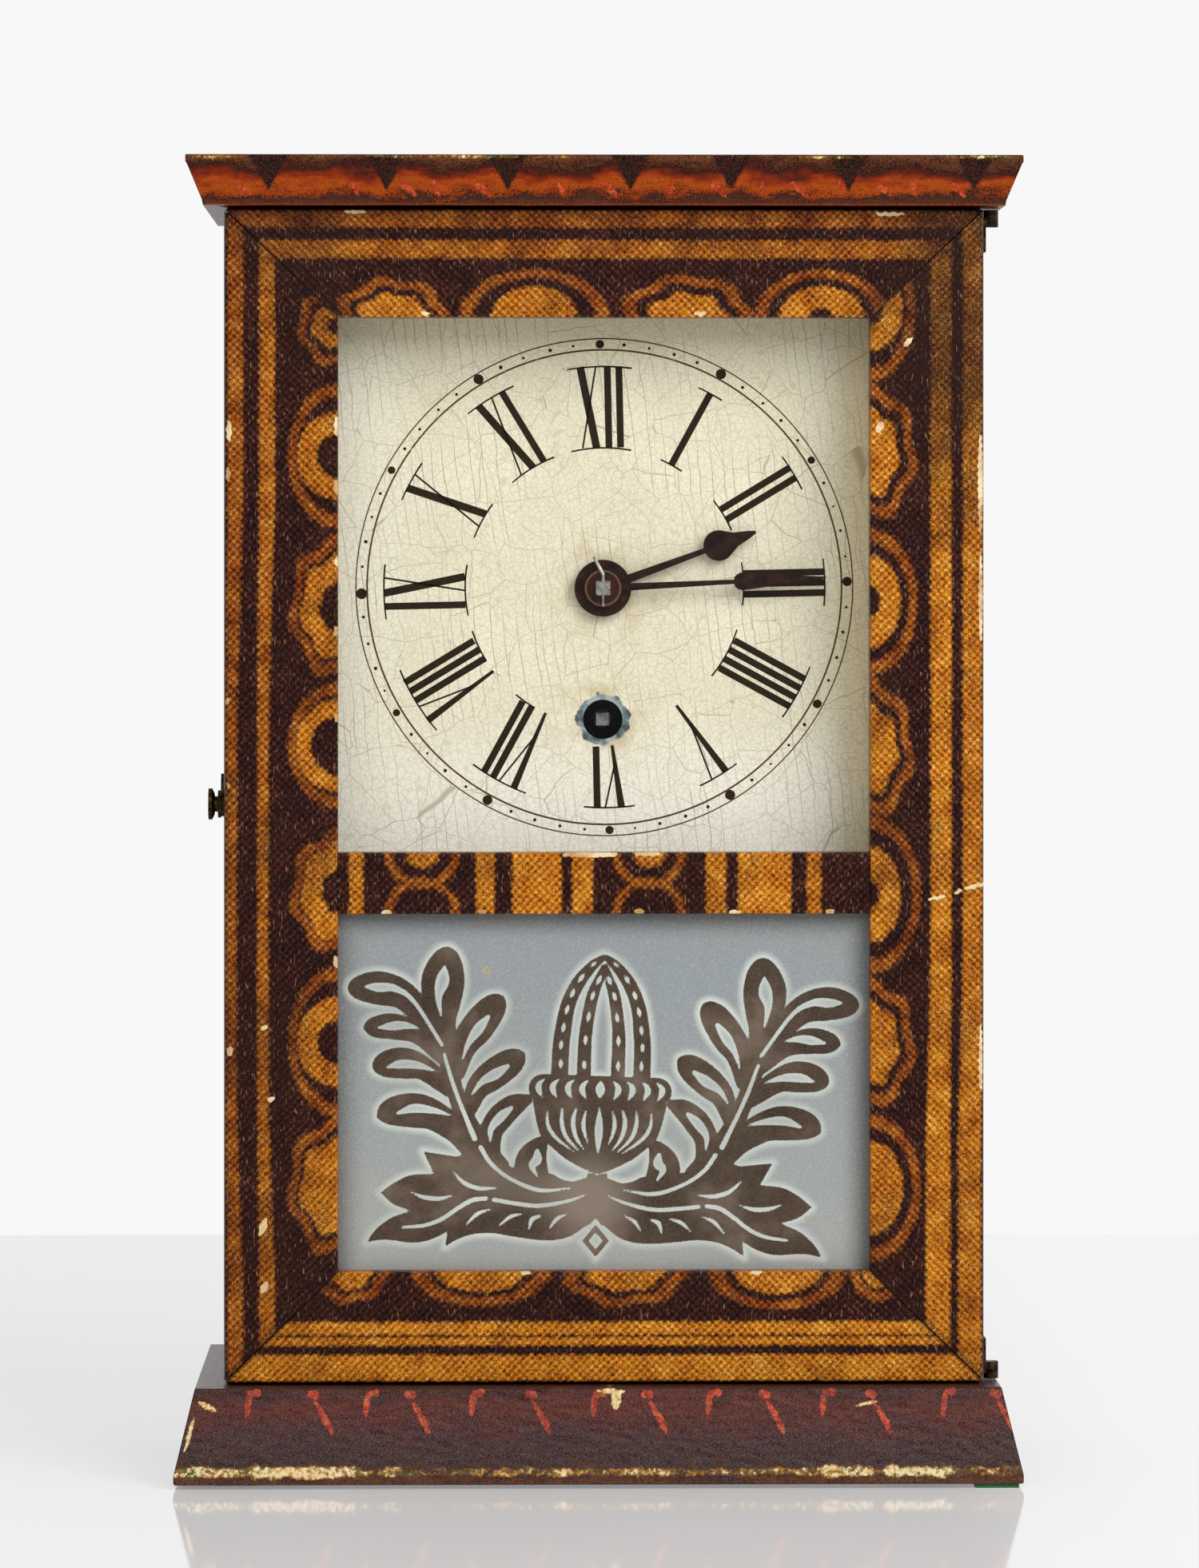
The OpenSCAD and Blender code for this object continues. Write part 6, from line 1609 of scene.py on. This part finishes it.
def backdrop_white(tree, sky):
    """Even light, white where the camera sees it, and a dim room in front for mirror images and glass."""
    path = node(tree, "LightPath")
    sharp = maths(tree, "MAXIMUM", path.outputs["Is Glossy Ray"], path.outputs["Is Transmission Ray"])
    away = node(tree, "SeparateXYZ", {"Vector": node(tree, "TexCoord").outputs["Generated"]}).outputs["Y"]
    mirrored_white = remap(tree, away, -0.25, 0.25, 0.08)
    lit = node(tree, "Background", {"Color": "#FFFFFF", "Strength": sky})
    mirrored_room = node(tree, "Background", {"Color": "#F8F8F8", "Strength": mirrored_white})
    shown = node(tree, "Background", {"Color": "#F8F8F8", "Strength": 1.0})
    unseen = node(tree, "MixShader", {0: sharp, 1: lit, 2: mirrored_room})
    return node(tree, "MixShader", {0: path.outputs["Is Camera Ray"], 1: unseen, 2: shown})


def pale_gloss(tree):
    """Pale gloss board, seen through a thin white haze, with a faint mirror image of what stands on it."""
    spot = own_place(tree)
    haze = noise(tree, spot, 60, 2.0)
    surface = tones(tree, haze, [(0.3, "#F8F8F8"), (0.7, "#FCFCFC")])
    board = node(tree, "BsdfPrincipled", {"Base Color": surface, "Roughness": 0.07})
    aside = node(tree, "SeparateXYZ", {"Vector": spot}).outputs["X"]
    veil = remap(tree, aside, 70 * MM, 150 * MM, 0.27, 0.75, smooth=True)
    seen = maths(tree, "MULTIPLY", node(tree, "LightPath").outputs["Is Camera Ray"], veil)
    return node(tree, "MixShader", {0: seen, 1: board, 2: node(tree, "Emission", {"Color": "#F8F8F8"})})


FLOOR_HALF, FLOOR_FRONT, FLOOR_BACK = 3000, -2600, DOOR_Y + 640
KEY_PLACE, KEY_SIZE = (1020, -1500, 1160), 1300
FILL_PLACE, FILL_SIZE = (-500, -2200, 1500), 1600
SENSOR = 36  # height of the camera's sensor
SHIFT = (-0.003, -0.122)  # of the camera's picture, as shares of its height


class CLOCK_OT_studio(Operator):
    """Set the pale floor, the soft light and the camera"""
    bl_idname = "clock.studio"
    bl_label = "Studio"

    def execute(self, context):
        settings = context.scene.clock_studio
        scene = context.scene
        scene.view_settings.view_transform = "Standard"

        bpy.ops.object.select_all(action="DESELECT")
        bpy.ops.mesh.primitive_plane_add(size=1)
        floor = context.object
        floor.name = "studio_floor"
        corner_places = [(x, y, 0) for y in (FLOOR_FRONT, FLOOR_BACK) for x in (-FLOOR_HALF, FLOOR_HALF)]
        set_places(floor.data, corner_places)
        floor.data.materials.append(material("pale_satin_board", pale_gloss))

        world = bpy.data.worlds.new("studio_world")
        world.use_nodes = True
        world.node_tree.nodes.clear()
        shown = backdrop_white(world.node_tree, settings.sky)
        node(world.node_tree, "OutputWorld", {"Surface": shown})
        scene.world = world

        aim = Vector((0, DOOR_Y, 150)) * MM
        for name, at, size, power in (
            ("key_light", KEY_PLACE, KEY_SIZE, settings.key),
            ("fill_light", FILL_PLACE, FILL_SIZE, settings.fill),
        ):
            bpy.ops.object.light_add(type="AREA", location=Vector(at) * MM)
            lamp = context.object
            lamp.name = name
            lamp.data.size = size * MM
            lamp.data.energy = power
            lamp.rotation_euler = (aim - lamp.location).to_track_quat("-Z", "Y").to_euler()

        bpy.ops.object.camera_add()
        camera = context.object
        camera.name = "view_camera"
        camera.location = Vector((-settings.aside, DOOR_Y - settings.distance, settings.eye)) * MM
        camera.rotation_euler = (math.pi / 2, 0, -settings.yaw)
        camera.data.sensor_fit = "VERTICAL"
        camera.data.sensor_height = SENSOR
        camera.data.lens = settings.lens
        camera.data.shift_x, camera.data.shift_y = SHIFT
        camera.data.clip_start = 0.05
        scene.camera = camera
        return {"FINISHED"}


OPERATORS = (
    CLOCK_OT_studio, CLOCK_OT_case_and_movement, CLOCK_OT_mouldings, CLOCK_OT_door_frame, CLOCK_OT_dial,
    CLOCK_OT_panes,
)


class CLOCK_PT_sidebar(Panel):
    """Lists the clock's settings and steps"""
    bl_label = "Shelf clock"
    bl_idname = "CLOCK_PT_sidebar"
    bl_space_type = "VIEW_3D"
    bl_region_type = "UI"
    bl_category = "Clock"

    def draw(self, context):
        for name, group in SETTINGS.items():
            section = self.layout.box()
            for prop in group.__annotations__:
                section.prop(getattr(context.scene, name), prop)
        for operator in OPERATORS:
            self.layout.operator(operator.bl_idname)


def register():
    for name, group in SETTINGS.items():
        bpy.utils.register_class(group)
        setattr(bpy.types.Scene, name, PointerProperty(type=group))
    for item in OPERATORS + (CLOCK_PT_sidebar,):
        bpy.utils.register_class(item)


def unregister():
    for item in reversed(OPERATORS + (CLOCK_PT_sidebar,)):
        bpy.utils.unregister_class(item)
    for name, group in SETTINGS.items():
        delattr(bpy.types.Scene, name)
        bpy.utils.unregister_class(group)


def main():
    register()
    bpy.ops.clock.studio()
    bpy.ops.clock.case_and_movement()
    bpy.ops.clock.mouldings()
    bpy.ops.clock.door_frame()
    bpy.ops.clock.dial()
    bpy.ops.clock.panes()


if __name__ == "__main__":
    main()
